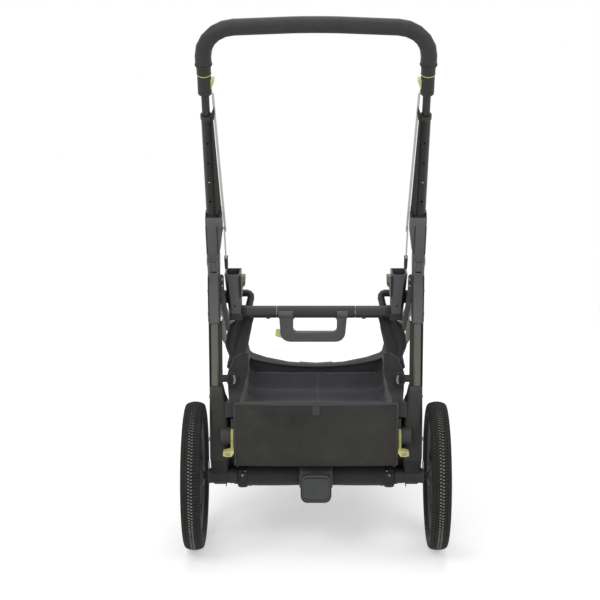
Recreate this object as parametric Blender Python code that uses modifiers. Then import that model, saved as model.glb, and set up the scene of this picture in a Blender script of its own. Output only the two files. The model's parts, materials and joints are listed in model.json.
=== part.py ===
"""Travel system stroller chassis, modelled at real size in metres.

+X is the stroller's right, +Y its front and +Z up. The origin is on the floor,
under the middle of the whole chassis. The seat, which is a separate product,
clicks into the two seat adapters and isn't part of this chassis.
"""
import math

import bmesh
import bpy
from mathutils import Matrix, Quaternion, Vector

# Clearances between pieces
GAP = 0.0003
RUNNING_CLEARANCE = 0.0004
SLIDE_CLEARANCE = 0.0006

# Rear wheels and axle
REAR_WHEEL_RADIUS = 0.1525
REAR_TYRE_WIDTH = 0.040
REAR_TYRE_DEPTH = 0.0335
REAR_WHEEL_X = 0.249
REAR_AXLE_Y = -0.288
REAR_SPOKES = 6
REAR_SPOKE_WIDTH = 0.013
AXLE_RADIUS = 0.0125
AXLE_STUB_RADIUS = 0.0079
AXLE_SLEEVE_RADIUS = 0.0205

# Front wheels and casters
FRONT_WHEEL_RADIUS = 0.095
FRONT_TYRE_WIDTH = 0.036
FRONT_TYRE_DEPTH = 0.024
FRONT_WHEEL_X = 0.188
FRONT_WHEEL_AHEAD = 0.700
FRONT_SPOKES = 5
FRONT_SPOKE_WIDTH = 0.009
CASTER_TRAIL = 0.035
CASTER_HEIGHT = 0.215
CASTER_RADIUS = 0.019
CASTER_LENGTH = 0.046
CASTER_STEM_RADIUS = 0.006
FORK_ARM = 0.005
FRONT_AXLE_RADIUS = 0.004

# Side frames
FRAME_X = 0.2050
HOUSING_WIDTH = 0.0240
LEG_RADIUS = 0.0100
TONGUE_WIDTH = 0.011
FOLD_PIVOT_AHEAD = 0.030
FOLD_PIVOT_HEIGHT = 0.600
FOLD_EAR_RADIUS = 0.024
FOLD_PIN_RADIUS = 0.006
LEG_PIVOT_AHEAD = 0.115
LEG_PIVOT_HEIGHT = 0.500
LEG_EAR_RADIUS = 0.0165
LEG_PIN_RADIUS = 0.005

# Push handle
HANDLE_LEAN = math.radians(25.5)
HOUSING_LENGTH = 0.118
OUTER_TUBE_RADIUS = 0.0098
OUTER_TUBE_RIM = 0.0014
OUTER_TUBE_FOOT = 0.046
INNER_TUBE_RADIUS = 0.0075
ADJUSTER_LENGTH = 0.0412
ADJUSTER_RADIUS = 0.0132
ADJUSTER_LIP = 0.006
GRIP_COLLAR_LENGTH = 0.0198
GRIP_COLLAR_STEP = 0.0012
COLLAR_RING_GAP = 0.0015
GRIP_RADIUS = 0.0152
HANDLE_LENGTH = 0.546
ADJUSTER_DROP = 0.1464
TUBE_TOP_DROP = 0.0486
TUBE_OVERLAP = 0.163
ADJUSTER_FOOT = HANDLE_LENGTH - ADJUSTER_DROP
OUTER_TUBE_TOP = ADJUSTER_FOOT - TUBE_TOP_DROP
INNER_TUBE_FOOT = OUTER_TUBE_TOP - TUBE_OVERLAP
PUSH_INNER = 0.0325
ROD_TOP_INSET = 0.0120
ROD_FOOT_INSET = 0.0238
ROD_FOOT = 0.075
HANDLE_BEND_RADIUS = 0.060
HANDLE_CROWN = 0.0095
HANDLE_CROWN_RADIUS = 1.5
HEIGHT_HOLES = 4
HEIGHT_HOLE_DROP = 0.058
HEIGHT_HOLE_PITCH = 0.0456
HEIGHT_HOLE_RADIUS = 0.0024
ROD_WIDTH = 0.0037
ROD_DEPTH = 0.009
BUTTON_TRAVEL = 0.003
BUTTON_RISE = 0.012
BUTTON_LENGTH = 0.020
BUTTON_HALF = 0.0055
BUTTON_PROUD = 0.0055

# Seat mounting
CROSSBAR_AHEAD = 0.075
CROSSBAR_HEIGHT = 0.482
CROSSBAR_RADIUS = 0.0125
CROSSBAR_CORE_RADIUS = 0.008
ADAPTER_INNER_X = 0.1525
ADAPTER_OUTER_X = 0.186
ADAPTER_HEIGHT = 0.093
ADAPTER_DEPTH = 0.060
ADAPTER_WALL = 0.006
POCKET_DEPTH = 0.055
STRUT_RADIUS = 0.0075
STRUT_SLEEVE_RADIUS = 0.0115
STRUT_TOP_X = 0.161
STRUT_BEND_X = 0.133
STRUT_FOOT_X = 0.172
STRUT_TOP_RISE = 0.026
STRUT_PASSING_GAP = 0.0019
STRUT_LEG_HEIGHT = 0.358

# Fold handle
FOLD_HANDLE_HALF = 0.0795
FOLD_HANDLE_DROP = 0.062
FOLD_HANDLE_DEPTH = 0.020
FOLD_HANDLE_BAR = 0.019
FOLD_HANDLE_GAP = 0.002
FOLD_GRIP_LEFT = -0.0765
FOLD_GRIP_RIGHT = 0.0645
FOLD_GRIP_CORNER = 0.020
FOLD_ARM_LEFT = 0.0295
FOLD_ARM_RIGHT = 0.0215
TRIGGER_HALF = 0.0055
TRIGGER_TOP = 0.024
TRIGGER_REACH = 0.013
TRIGGER_TRAVEL = 0.005

# Basket, with each station's share of the length, rim, front lift and width
BASKET_HALF = 0.164
BASKET_WALL = 0.003
BASKET_FLOOR = 0.185
BASKET_BACK = 0.026
BASKET_LENGTH = 0.504
BASKET_RIM = 0.350
BASKET_RIM_FALL = 0.101
BASKET_NOSE_LIFT = 0.053
BASKET_CORNER = 0.022
BASKET_STATIONS = ((0.0, 0.317, 0.04, 1.0), (0.111, 0.050, 0.04, 1.0), (0.230, 0.0, 0.0, 1.0),
                   (0.409, 0.277, 0.0, 0.99), (0.627, 0.594, 0.0, 0.98),
                   (0.806, 0.812, 0.08, 0.97), (0.905, 0.921, 0.40, 0.96), (1.0, 1.0, 1.0, 0.955))
PANEL_HALF = 0.1655
PANEL_TOP = 0.318
PANEL_THICKNESS = 0.004
PANEL_SLACK = 0.0035

# Brake, levers and front bow
BRAKE_HALF = 0.034
AXLE_SLEEVE_END = 0.163
SLEEVE_CUFF_START = 0.144
SLEEVE_CUFF_RISE = 0.0015
SLEEVE_FOLD = 0.002
BRAKE_RADIUS = 0.0285
BRAKE_TONGUE = 0.024
BRAKE_HUB_RADIUS = 0.0185
PEDAL_HALF = 0.0315
PEDAL_DROP = 0.038
PEDAL_REACH = 0.056
HOUSING_FOOT = 0.125
BRACKET_INNER = 0.179
LEVER_BACK = -0.012
LEVER_RISE = 0.0915
LEVER_OUTER_X = 0.1735
LEVER_THICKNESS = 0.0055
LEVER_PIN_RADIUS = 0.005
LEVER_RADIUS = 0.0165
LEVER_FOOT_WIDTH = 0.0205
BOW_RADIUS = 0.006
BOW_SHARE = 0.80
BOW_STUB = 0.009
BOW_DROP = 0.0405
BOW_GAP = 0.020
BOW_STATIONS = ((0.0, 0.0), (0.015, 0.40), (0.045, 0.84), (0.10, 0.97), (0.30, 1.0),
                (0.62, 1.0), (1.0, 1.0))

TURN_STEPS = 12
HUB_STEPS = 16
REAR_WHEEL_STEPS = 28
FRONT_WHEEL_STEPS = 20


def clear_scene():
    """Remove every object, and the collections that held them."""
    for thing in list(bpy.data.objects):
        bpy.data.objects.remove(thing, do_unlink=True)
    for group in list(bpy.data.collections):
        bpy.data.collections.remove(group)


clear_scene()
PARTS = bpy.data.collections.new("travel_system_stroller")
CUTTERS = bpy.data.collections.new("cutters")
bpy.context.scene.collection.children.link(PARTS)
bpy.context.scene.collection.children.link(CUTTERS)

SIDES = (("left", -1), ("right", 1))
HOUSING_INNER = FRAME_X - HOUSING_WIDTH / 2
HOUSING_OUTER = FRAME_X + HOUSING_WIDTH / 2
REAR_AXLE = Vector((0, REAR_AXLE_Y, REAR_WHEEL_RADIUS))
FOLD_PIVOT = Vector((0, REAR_AXLE_Y + FOLD_PIVOT_AHEAD, FOLD_PIVOT_HEIGHT))
LEG_PIVOT = Vector((0, REAR_AXLE_Y + LEG_PIVOT_AHEAD, LEG_PIVOT_HEIGHT))
CROSSBAR = Vector((0, REAR_AXLE_Y + CROSSBAR_AHEAD, CROSSBAR_HEIGHT))
FRONT_AXLE = Vector((0, REAR_AXLE_Y + FRONT_WHEEL_AHEAD, FRONT_WHEEL_RADIUS))
CASTER = Vector((0, FRONT_AXLE.y + CASTER_TRAIL, CASTER_HEIGHT))
HANDLE_UP = Vector((0, -math.sin(HANDLE_LEAN), math.cos(HANDLE_LEAN)))
HANDLE_AHEAD = Vector((0, math.cos(HANDLE_LEAN), math.sin(HANDLE_LEAN)))
ALONG_X = Vector((1, 0, 0))


def material(name, colour, roughness, metallic=0.0):
    """Return a Principled material of one colour."""
    made = bpy.data.materials.new(name)
    made.use_nodes = True
    shader = made.node_tree.nodes["Principled BSDF"]
    shader.inputs["Base Color"].default_value = (*colour, 1.0)
    shader.inputs["Roughness"].default_value = roughness
    shader.inputs["Metallic"].default_value = metallic
    return made


BLACK_TUBE = material("black_tube", (0.035, 0.035, 0.033), 0.42, 0.6)
OLIVE_TUBE = material("olive_tube", (0.115, 0.110, 0.090), 0.38, 0.7)
PALE_METAL = material("pale_metal", (0.52, 0.52, 0.51), 0.35, 0.8)
STEEL = material("steel", (0.42, 0.42, 0.42), 0.3, 1.0)
GREY_PLASTIC = material("grey_plastic", (0.070, 0.072, 0.075), 0.5)
BLACK_PLASTIC = material("black_plastic", (0.024, 0.024, 0.024), 0.55)
GREEN_PLASTIC = material("green_plastic", (0.52, 0.52, 0.13), 0.45)
GRIP_COVER = material("grip_cover", (0.030, 0.029, 0.027), 0.6)
TYRE_RUBBER = material("tyre_rubber", (0.028, 0.028, 0.027), 0.85)
BASKET_CLOTH = material("basket_cloth", (0.026, 0.026, 0.029), 0.9)


def add(name, data, finish=None, group=PARTS):
    """Link a new object that carries the given mesh or curve."""
    thing = bpy.data.objects.new(name, data)
    if finish:
        data.materials.append(finish)
    group.objects.link(thing)
    if group is CUTTERS:
        thing.hide_render = True
        thing.display_type = "WIRE"
    return thing


def to_mesh(curve_object, name, finish, group):
    """Swap a curve object for a welded mesh in the same place."""
    bpy.context.view_layer.update()
    graph = bpy.context.evaluated_depsgraph_get()
    mesh = bpy.data.meshes.new_from_object(curve_object.evaluated_get(graph))
    place = curve_object.matrix_world.copy()
    bpy.data.objects.remove(curve_object, do_unlink=True)
    work = bmesh.new()
    work.from_mesh(mesh)
    bmesh.ops.remove_doubles(work, verts=work.verts, dist=0.000001)
    bmesh.ops.recalc_face_normals(work, faces=work.faces)
    work.to_mesh(mesh)
    work.free()
    mesh.materials.clear()
    made = add(name, mesh, finish, group)
    made.matrix_world = place
    return made


def extrude(name, loops, low, high, plane, finish=None, group=PARTS):
    """Extrude closed outlines between two depths; later loops are holes.

    Plane YZ takes (y, z) points and depths in X, and plane XZ takes (x, z)
    points and depths in Y.
    """
    curve = bpy.data.curves.new(name, "CURVE")
    curve.dimensions = "2D"
    curve.fill_mode = "BOTH"
    curve.extrude = abs(high - low) / 2
    for loop in loops:
        spline = curve.splines.new("POLY")
        spline.points.add(len(loop) - 1)
        spline.use_cyclic_u = True
        for point, (across, up) in zip(spline.points, loop):
            point.co = (across, up, 0, 1)
    thing = add(name + "_outline", curve)
    middle = (low + high) / 2
    if plane == "YZ":
        thing.rotation_euler = (math.pi / 2, 0, math.pi / 2)
        thing.location = (middle, 0, 0)
    else:
        thing.rotation_euler = (math.pi / 2, 0, 0)
        thing.location = (0, middle, 0)
    return to_mesh(thing, name, finish, group)


def pipe(name, points, radius, finish=None, group=PARTS, sides=3, meshed=False):
    """Sweep a round bar along points; sides is the bevel resolution."""
    curve = bpy.data.curves.new(name, "CURVE")
    curve.dimensions = "3D"
    curve.bevel_depth = radius
    curve.bevel_resolution = sides
    curve.use_fill_caps = True
    spline = curve.splines.new("POLY")
    spline.points.add(len(points) - 1)
    spline.use_smooth = True
    for point, place in zip(spline.points, points):
        point.co = (*place, 1)
    if not meshed:
        return add(name, curve, finish, group)
    thing = add(name + "_path", curve)
    return to_mesh(thing, name, finish, group)


def turn(name, profile, start, direction, finish=None, group=PARTS,
         steps=TURN_STEPS, closed=True):
    """Turn (radius, height) points about a line through start.

    The profile runs down its outer side, from the far end to the near end.
    """
    mesh = bpy.data.meshes.new(name)
    count = len(profile)
    edges = [(i, i + 1) for i in range(count - 1)]
    if closed:
        edges.append((count - 1, 0))
    mesh.from_pydata([(radius, 0, height) for radius, height in profile], edges, [])
    thing = add(name, mesh, finish, group)
    screw = thing.modifiers.new("Turn", "SCREW")
    screw.steps = steps
    screw.render_steps = steps
    screw.use_smooth_shade = True
    screw.use_merge_vertices = True
    screw.merge_threshold = 0.00002
    half_step = Quaternion((0, 0, 1), math.pi / steps)
    thing.rotation_mode = "QUATERNION"
    thing.rotation_quaternion = Vector(direction).to_track_quat("Z", "Y") @ half_step
    thing.location = start
    return thing


def rod(name, start, end, radius, finish=None, group=PARTS, steps=TURN_STEPS):
    """Make a plain round bar between two points."""
    start = Vector(start)
    length = (Vector(end) - start).length
    profile = [(0, length), (radius, length), (radius, 0), (0, 0)]
    return turn(name, profile, start, Vector(end) - start, finish, group, steps,
                closed=False)


def ring(name, start, direction, length, radius, bore, finish=None,
         group=PARTS, steps=TURN_STEPS):
    """Make a plain bush: a round bar with a bore."""
    profile = [(bore, length), (radius, length), (radius, 0), (bore, 0)]
    return turn(name, profile, start, direction, finish, group, steps)


def block(name, low, high, finish=None, group=PARTS):
    """Make a box between two corners."""
    mesh = bpy.data.meshes.new(name)
    work = bmesh.new()
    bmesh.ops.create_cube(work, size=1.0)
    size = Vector(high) - Vector(low)
    middle = (Vector(high) + Vector(low)) / 2
    bmesh.ops.scale(work, vec=size, verts=work.verts)
    work.to_mesh(mesh)
    work.free()
    thing = add(name, mesh, finish, group)
    thing.location = middle
    return thing


def hull(name, corners, finish=None, group=PARTS):
    """Make the convex solid that the given corners span."""
    mesh = bpy.data.meshes.new(name)
    work = bmesh.new()
    for corner in corners:
        work.verts.new(corner)
    bmesh.ops.convex_hull(work, input=work.verts)
    work.to_mesh(mesh)
    work.free()
    return add(name, mesh, finish, group)


def round_edges(thing, width, segments=1, angle=40):
    """Round the sharp edges of a piece."""
    bevel = thing.modifiers.new("Round", "BEVEL")
    bevel.width = width
    bevel.segments = segments
    bevel.limit_method = "ANGLE"
    bevel.angle_limit = math.radians(angle)
    return thing


def combine(thing, tool, operation):
    """Cut the tool from a piece, or join the tool to it."""
    joiner = thing.modifiers.new(operation.title(), "BOOLEAN")
    joiner.operation = operation
    joiner.object = tool
    joiner.solver = "EXACT"
    return thing


def cut(thing, tool):
    return combine(thing, tool, "DIFFERENCE")


def join(thing, tool):
    return combine(thing, tool, "UNION")


def arc(centre, radius, start, end, count):
    """Return points along a circle, with angles in degrees from the first axis."""
    points = []
    for index in range(count):
        angle = math.radians(start + (end - start) * index / (count - 1))
        points.append((centre[0] + radius * math.cos(angle),
                       centre[1] + radius * math.sin(angle)))
    return points


def rounded_box(low, high, radius, count=3):
    """Return the outline of a rectangle with round corners."""
    (left, bottom), (right, top) = low, high
    points = []
    points += arc((right - radius, top - radius), radius, 0, 90, count)
    points += arc((left + radius, top - radius), radius, 90, 180, count)
    points += arc((left + radius, bottom + radius), radius, 180, 270, count)
    points += arc((right - radius, bottom + radius), radius, 270, 360, count)
    return points


def rounded_path(corners, radii, steps=6):
    """Replace each inner corner of a path by an arc of the given radius."""
    path = [Vector(corners[0])]
    for index, radius in enumerate(radii):
        corner = Vector(corners[index + 1])
        back = (Vector(corners[index]) - corner).normalized()
        ahead = (Vector(corners[index + 2]) - corner).normalized()
        half = back.angle(ahead) / 2
        centre = corner + (back + ahead).normalized() * radius / math.sin(half)
        first = corner + back * radius / math.tan(half) - centre
        last = corner + ahead * radius / math.tan(half) - centre
        axis = first.cross(last).normalized()
        sweep = first.angle(last)
        for step in range(steps + 1):
            turned = Quaternion(axis, sweep * step / steps) @ first
            path.append(centre + turned)
    path.append(Vector(corners[-1]))
    return path


def pivot(name, place):
    """Make an empty on a joint's axis, to carry the pieces that move with it."""
    thing = bpy.data.objects.new(name, None)
    thing.empty_display_size = 0.02
    thing.location = place
    PARTS.objects.link(thing)
    return thing


def carry(holder, *things):
    """Parent pieces to an empty without moving them."""
    for thing in things:
        thing.parent = holder
        thing.matrix_parent_inverse = Matrix.Translation(holder.location).inverted()


def side_point(sign, x, place):
    """Return a point at distance x from the middle, in the plane of a side."""
    return Vector((sign * x, place.y, place.z))


def on_handle(up, ahead=0.0):
    """Return the point at a distance up the handle from the fold pivot."""
    return FOLD_PIVOT + HANDLE_UP * up + HANDLE_AHEAD * ahead


def in_side_plane(points):
    """Turn (ahead, up) points of the handle's own axes into (y, z) points."""
    placed = [on_handle(up, ahead) for ahead, up in points]
    return [(place.y, place.z) for place in placed]


def band(sign, low, high):
    """Return the two X limits of a slice of one side, in rising order."""
    return sorted((sign * low, sign * high))


def make_rear_axle():
    """Make the axle, its cloth sleeves and the brake housing between them."""
    shoulder = HOUSING_OUTER + 0.001
    tip = REAR_WHEEL_X + 0.014
    profile = [(0, tip), (AXLE_STUB_RADIUS, tip), (AXLE_STUB_RADIUS, shoulder),
               (AXLE_RADIUS, shoulder), (AXLE_RADIUS, -shoulder),
               (AXLE_STUB_RADIUS, -shoulder), (AXLE_STUB_RADIUS, -tip), (0, -tip)]
    turn("rear_axle", profile, REAR_AXLE, ALONG_X, BLACK_TUBE, closed=False)

    bore = AXLE_RADIUS + GAP
    cuff = AXLE_SLEEVE_RADIUS + SLEEVE_CUFF_RISE
    for side, sign in SIDES:
        start = BRAKE_HALF + GAP
        length = AXLE_SLEEVE_END - start
        cuff_start = SLEEVE_CUFF_START - start
        profile = [(bore, length), (AXLE_SLEEVE_RADIUS, length), (cuff, length - SLEEVE_FOLD),
                   (cuff, cuff_start), (AXLE_SLEEVE_RADIUS - GAP, cuff_start - SLEEVE_FOLD),
                   (AXLE_SLEEVE_RADIUS, cuff_start - 3 * SLEEVE_FOLD),
                   (AXLE_SLEEVE_RADIUS, 0), (bore, 0)]
        turn(f"axle_sleeve_{side}", profile, REAR_AXLE + Vector((sign * start, 0, 0)),
             ALONG_X * sign, BASKET_CLOTH)

    housing = rod("brake_housing", REAR_AXLE - ALONG_X * BRAKE_HALF,
                  REAR_AXLE + ALONG_X * BRAKE_HALF, BRAKE_RADIUS, GREY_PLASTIC,
                  steps=HUB_STEPS)
    round_edges(housing, 0.003)
    hub_room = BRAKE_HUB_RADIUS + 2 * RUNNING_CLEARANCE
    slot_half = BRAKE_TONGUE / 2 + GAP
    cut(housing, rod("brake_hub_room", REAR_AXLE - ALONG_X * slot_half,
                     REAR_AXLE + ALONG_X * slot_half, hub_room, group=CUTTERS))
    cut(housing, block("brake_slot", REAR_AXLE + Vector((-slot_half, -0.04, -0.020)),
                       REAR_AXLE + Vector((slot_half, 0, 0.016)), group=CUTTERS))
    cut(housing, rod("brake_bore", REAR_AXLE - ALONG_X * 0.05,
                     REAR_AXLE + ALONG_X * 0.05, bore, group=CUTTERS))


def make_brake_pedal():
    """Make the foot pedal, whose tongue turns round the axle in the housing."""
    low = REAR_AXLE.z - PEDAL_DROP
    high = REAR_AXLE.z + 0.006
    pad = extrude("brake_pedal", [rounded_box((-PEDAL_HALF, low), (PEDAL_HALF, high), 0.013)],
                  REAR_AXLE.y - PEDAL_REACH, REAR_AXLE.y - BRAKE_RADIUS + 0.012, "XZ",
                  GREY_PLASTIC)
    round_edges(pad, 0.004)
    cut(pad, rod("pedal_room", REAR_AXLE - ALONG_X * 0.05, REAR_AXLE + ALONG_X * 0.05,
                 BRAKE_RADIUS + 2 * GAP, group=CUTTERS, steps=HUB_STEPS))
    half = BRAKE_TONGUE / 2
    join(pad, block("pedal_tongue",
                    REAR_AXLE + Vector((-half, -BRAKE_RADIUS - 0.005, -0.010)),
                    REAR_AXLE + Vector((half, 0, 0.004)), group=CUTTERS))
    join(pad, rod("pedal_hub", REAR_AXLE - ALONG_X * half, REAR_AXLE + ALONG_X * half,
                  BRAKE_HUB_RADIUS, group=CUTTERS))
    cut(pad, rod("pedal_bore", REAR_AXLE - ALONG_X * 0.05, REAR_AXLE + ALONG_X * 0.05,
                 AXLE_RADIUS + 2 * RUNNING_CLEARANCE, group=CUTTERS))
    carry(pivot("brake_pivot", REAR_AXLE), pad)


def make_wheel(name, place, radius, tyre_depth, width, bore, spokes, spoke_width,
               grooves, steps, holder):
    """Make a tyre and a spoked wheel, both turned about the axle."""
    spread = radius / math.cos(math.pi / steps) - radius
    half = width / 2
    crown = half * 0.74
    seat = radius - tyre_depth
    drop = radius * 0.026
    tread = []
    ribs = grooves + 1
    groove = 0.0022
    rib = (2 * crown - grooves * groove) / ribs
    for index in range(ribs):
        top = crown - index * (rib + groove)
        for height in (top, top - rib):
            tread.append((radius - drop * (height / crown) ** 2, height))
        if index < grooves:
            middle = top - rib - groove / 2
            tread.append((radius - drop * (middle / crown) ** 2 - 0.0014, middle))
    upper = [(seat, half * 0.66), (seat + tyre_depth * 0.3, half),
             (seat + tyre_depth * 0.75, half * 0.94)]
    lower = [(across, -height) for across, height in reversed(upper)]
    profile = [(across + spread, height) for across, height in upper + tread + lower]
    tyre = turn(f"{name}_tyre", profile, place, ALONG_X, TYRE_RUBBER, steps=steps)

    rim_outer = seat - GAP
    rim_inner = seat - 0.013
    lip = half * 0.62
    rim = [(rim_inner, half * 0.4), (rim_outer, lip), (rim_outer, -lip),
           (rim_inner, -half * 0.4)]
    wheel = turn(f"{name}_wheel", rim, place, ALONG_X, GREY_PLASTIC, steps=steps)
    hub = radius * 0.14
    windows = []
    inner = hub + radius * 0.07
    outer = rim_inner - radius * 0.02
    for index in range(spokes):
        turned = 360 * (index + 0.5) / spokes
        open_in = 180 / spokes - math.degrees(math.asin(spoke_width / 2 / inner))
        open_out = 180 / spokes - math.degrees(math.asin(spoke_width / 2 / outer))
        middle = (place.y, place.z)
        windows.append(arc(middle, outer, turned - open_out, turned + open_out, 3)
                       + arc(middle, inner, turned + open_in, turned - open_in, 2))
    disc = [arc((place.y, place.z), rim_inner + 0.004, 0, 360 - 360 / steps, steps)]
    plate = half * 0.3
    join(wheel, extrude(f"{name}_spoke_plate", disc + windows, place.x - plate,
                        place.x + plate, "YZ", group=CUTTERS))
    join(wheel, rod(f"{name}_hub", place - ALONG_X * half * 0.95,
                    place + ALONG_X * half * 0.95, hub, group=CUTTERS))
    cut(wheel, rod(f"{name}_bore", place - ALONG_X * width, place + ALONG_X * width,
                   bore, group=CUTTERS))
    carry(holder, tyre, wheel)


def make_rear_wheels():
    """Make both rear wheels, each on its own pivot on the axle."""
    for side, sign in SIDES:
        place = side_point(sign, REAR_WHEEL_X, REAR_AXLE)
        make_wheel(f"rear_{side}", place, REAR_WHEEL_RADIUS, REAR_TYRE_DEPTH,
                   REAR_TYRE_WIDTH, AXLE_STUB_RADIUS + RUNNING_CLEARANCE, REAR_SPOKES,
                   REAR_SPOKE_WIDTH, 2, REAR_WHEEL_STEPS, pivot(f"rear_{side}_spin", place))


def make_casters():
    """Make the front forks with their stems, axles and wheels."""
    for side, sign in SIDES:
        axle = side_point(sign, FRONT_WHEEL_X, FRONT_AXLE)
        swivel = side_point(sign, FRONT_WHEEL_X, CASTER)
        top = CASTER_HEIGHT - CASTER_LENGTH / 2
        holder = pivot(f"caster_{side}_swivel", swivel)
        half = FRONT_TYRE_WIDTH / 2 + 0.003 + FORK_ARM
        boss = 0.012
        crown_low = top - 0.020
        outline = arc((axle.y, axle.z), boss, 180, 320, 5)
        outline += [(swivel.y + 0.016, crown_low), (swivel.y + 0.016, top - GAP),
                    (swivel.y - 0.016, top - GAP), (swivel.y - 0.020, crown_low)]
        fork = extrude(f"caster_fork_{side}", [outline],
                       *band(sign, FRONT_WHEEL_X - half, FRONT_WHEEL_X + half), "YZ",
                       GREY_PLASTIC)
        round_edges(fork, 0.003)
        room = FRONT_TYRE_WIDTH / 2 + 0.003
        wheel_room = rod(f"wheel_room_{side}", axle - ALONG_X * room,
                         axle + ALONG_X * room, FRONT_WHEEL_RADIUS + 0.003,
                         group=CUTTERS, steps=FRONT_WHEEL_STEPS)
        cut(fork, wheel_room)
        stem = rod(f"fork_stem_{side}", swivel - Vector((0, 0, CASTER_LENGTH / 2 + 0.004)),
                   swivel + Vector((0, 0, CASTER_LENGTH / 2 - 0.006)),
                   CASTER_STEM_RADIUS, group=CUTTERS)
        join(fork, stem)
        cut(fork, rod(f"fork_bore_{side}", axle - ALONG_X * 0.05, axle + ALONG_X * 0.05,
                      FRONT_AXLE_RADIUS + GAP, group=CUTTERS))
        pin = rod(f"front_axle_{side}", axle - ALONG_X * half, axle + ALONG_X * half,
                  FRONT_AXLE_RADIUS, STEEL)
        carry(holder, fork, pin)
        spin = pivot(f"front_{side}_spin", axle)
        carry(holder, spin)
        make_wheel(f"front_{side}", axle, FRONT_WHEEL_RADIUS, FRONT_TYRE_DEPTH,
                   FRONT_TYRE_WIDTH, FRONT_AXLE_RADIUS + RUNNING_CLEARANCE,
                   FRONT_SPOKES, FRONT_SPOKE_WIDTH, 1, FRONT_WHEEL_STEPS, spin)


def make_side_housings():
    """Make the moulded side joints, which hold the leg and both fold pivots."""
    pivot_at = (FOLD_PIVOT.y, FOLD_PIVOT.z)
    leg_at = (LEG_PIVOT.y, LEG_PIVOT.z)
    for side, sign in SIDES:
        outline = arc(pivot_at, FOLD_EAR_RADIUS, -66, 235, 10)
        outline += [(pivot_at[0] - 0.020, pivot_at[1] - 0.050),
                    (pivot_at[0] - 0.023, pivot_at[1] - HOUSING_FOOT),
                    (pivot_at[0] + 0.008, pivot_at[1] - HOUSING_FOOT),
                    (pivot_at[0] + 0.022, pivot_at[1] - 0.119)]
        outline += arc(leg_at, LEG_EAR_RADIUS, -130, 60, 6)
        outline += [(pivot_at[0] + 0.055, pivot_at[1] - 0.068),
                    (pivot_at[0] + 0.022, pivot_at[1] - 0.047)]
        housing = extrude(f"side_housing_{side}", [outline],
                          *band(sign, HOUSING_INNER, HOUSING_OUTER), "YZ", GREY_PLASTIC)
        round_edges(housing, 0.003)
        boss_at = Vector((0, FOLD_PIVOT.y + 0.045, FOLD_PIVOT.z - 0.086))
        join(housing, rod(f"adapter_boss_{side}",
                          side_point(sign, ADAPTER_OUTER_X + GAP, boss_at),
                          side_point(sign, FRAME_X, boss_at), 0.0135, group=CUTTERS))
        slot = TONGUE_WIDTH / 2 + GAP
        for name, place, radius in (("fold", FOLD_PIVOT, FOLD_EAR_RADIUS + 0.002),
                                    ("leg", LEG_PIVOT, LEG_EAR_RADIUS + 0.0015)):
            cut(housing, rod(f"{name}_slot_{side}", side_point(sign, FRAME_X - slot, place),
                             side_point(sign, FRAME_X + slot, place), radius,
                             group=CUTTERS, steps=HUB_STEPS))
        for name, place, radius in (("fold", FOLD_PIVOT, FOLD_PIN_RADIUS),
                                    ("leg", LEG_PIVOT, LEG_PIN_RADIUS)):
            cut(housing, rod(f"{name}_bore_{side}", side_point(sign, 0.17, place),
                             side_point(sign, 0.24, place), radius + GAP, group=CUTTERS))
            head = radius * 1.7
            start = side_point(sign, HOUSING_INNER - 0.0005, place)
            far = HOUSING_WIDTH + 0.0010
            profile = [(0, far + 0.002), (head * 0.7, far + 0.002), (head, far + 0.0008),
                       (head, far), (radius, far), (radius, 0), (0, 0)]
            turn(f"{name}_pin_{side}", profile, start, ALONG_X * sign, STEEL, closed=False)
        leg_top, leg_foot = leg_line(sign)
        up = (leg_top - leg_foot).normalized()
        cut(housing, rod(f"leg_socket_{side}", leg_top - up * 0.08, leg_top + up * GAP,
                         LEG_RADIUS + GAP, group=CUTTERS))


def leg_line(sign):
    """Return the ends of a rear leg tube."""
    down = Vector((0, REAR_AXLE.y - FOLD_PIVOT.y, REAR_AXLE.z - FOLD_PIVOT.z))
    top = side_point(sign, FRAME_X, FOLD_PIVOT + down * 0.165)
    foot = side_point(sign, FRAME_X, FOLD_PIVOT + down * 0.870)
    return top, foot


def make_rear_legs():
    """Make the leg tubes and the brackets that hold them on the axle."""
    for side, sign in SIDES:
        top, foot = leg_line(sign)
        up = (top - foot).normalized()
        rod(f"rear_leg_{side}", foot, top, LEG_RADIUS, OLIVE_TUBE)
        outer = HOUSING_OUTER
        neck = FRAME_X - LEG_RADIUS - 0.002
        low = REAR_AXLE.z - 0.024
        high = 0.344
        outline = [(outer - 0.002, low + 0.006), (outer, low + 0.050),
                   (outer, high - 0.03), (outer - 0.001, high), (neck, high),
                   (neck - 0.001, high - 0.03), (BRACKET_INNER, high - 0.075),
                   (BRACKET_INNER - 0.001, REAR_AXLE.z + 0.045),
                   (BRACKET_INNER + 0.003, low + 0.006), (BRACKET_INNER + 0.009, low),
                   (outer - 0.008, low)]
        outline = [(sign * across, height) for across, height in outline]
        bracket = extrude(f"axle_bracket_{side}", [outline], REAR_AXLE.y - 0.019,
                          REAR_AXLE.y + 0.027, "XZ", BLACK_PLASTIC)
        round_edges(bracket, 0.005)
        boss = REAR_AXLE + Vector((0, LEVER_BACK, LEVER_RISE))
        join(bracket, rod(f"lever_boss_{side}",
                          side_point(sign, LEVER_OUTER_X + GAP, boss),
                          side_point(sign, FRAME_X, boss), LEVER_RADIUS + 0.002,
                          group=CUTTERS, steps=HUB_STEPS))
        cut(bracket, rod(f"bracket_socket_{side}", foot - up * GAP, foot + up * 0.4,
                         LEG_RADIUS + GAP, group=CUTTERS))
        cut(bracket, rod(f"bracket_bore_{side}", side_point(sign, 0.15, REAR_AXLE),
                         side_point(sign, 0.24, REAR_AXLE), AXLE_RADIUS + GAP,
                         group=CUTTERS))
        cut(bracket, rod(f"lever_bore_{side}", side_point(sign, 0.15, boss),
                         side_point(sign, 0.186, boss), LEVER_PIN_RADIUS + GAP,
                         group=CUTTERS))


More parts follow.
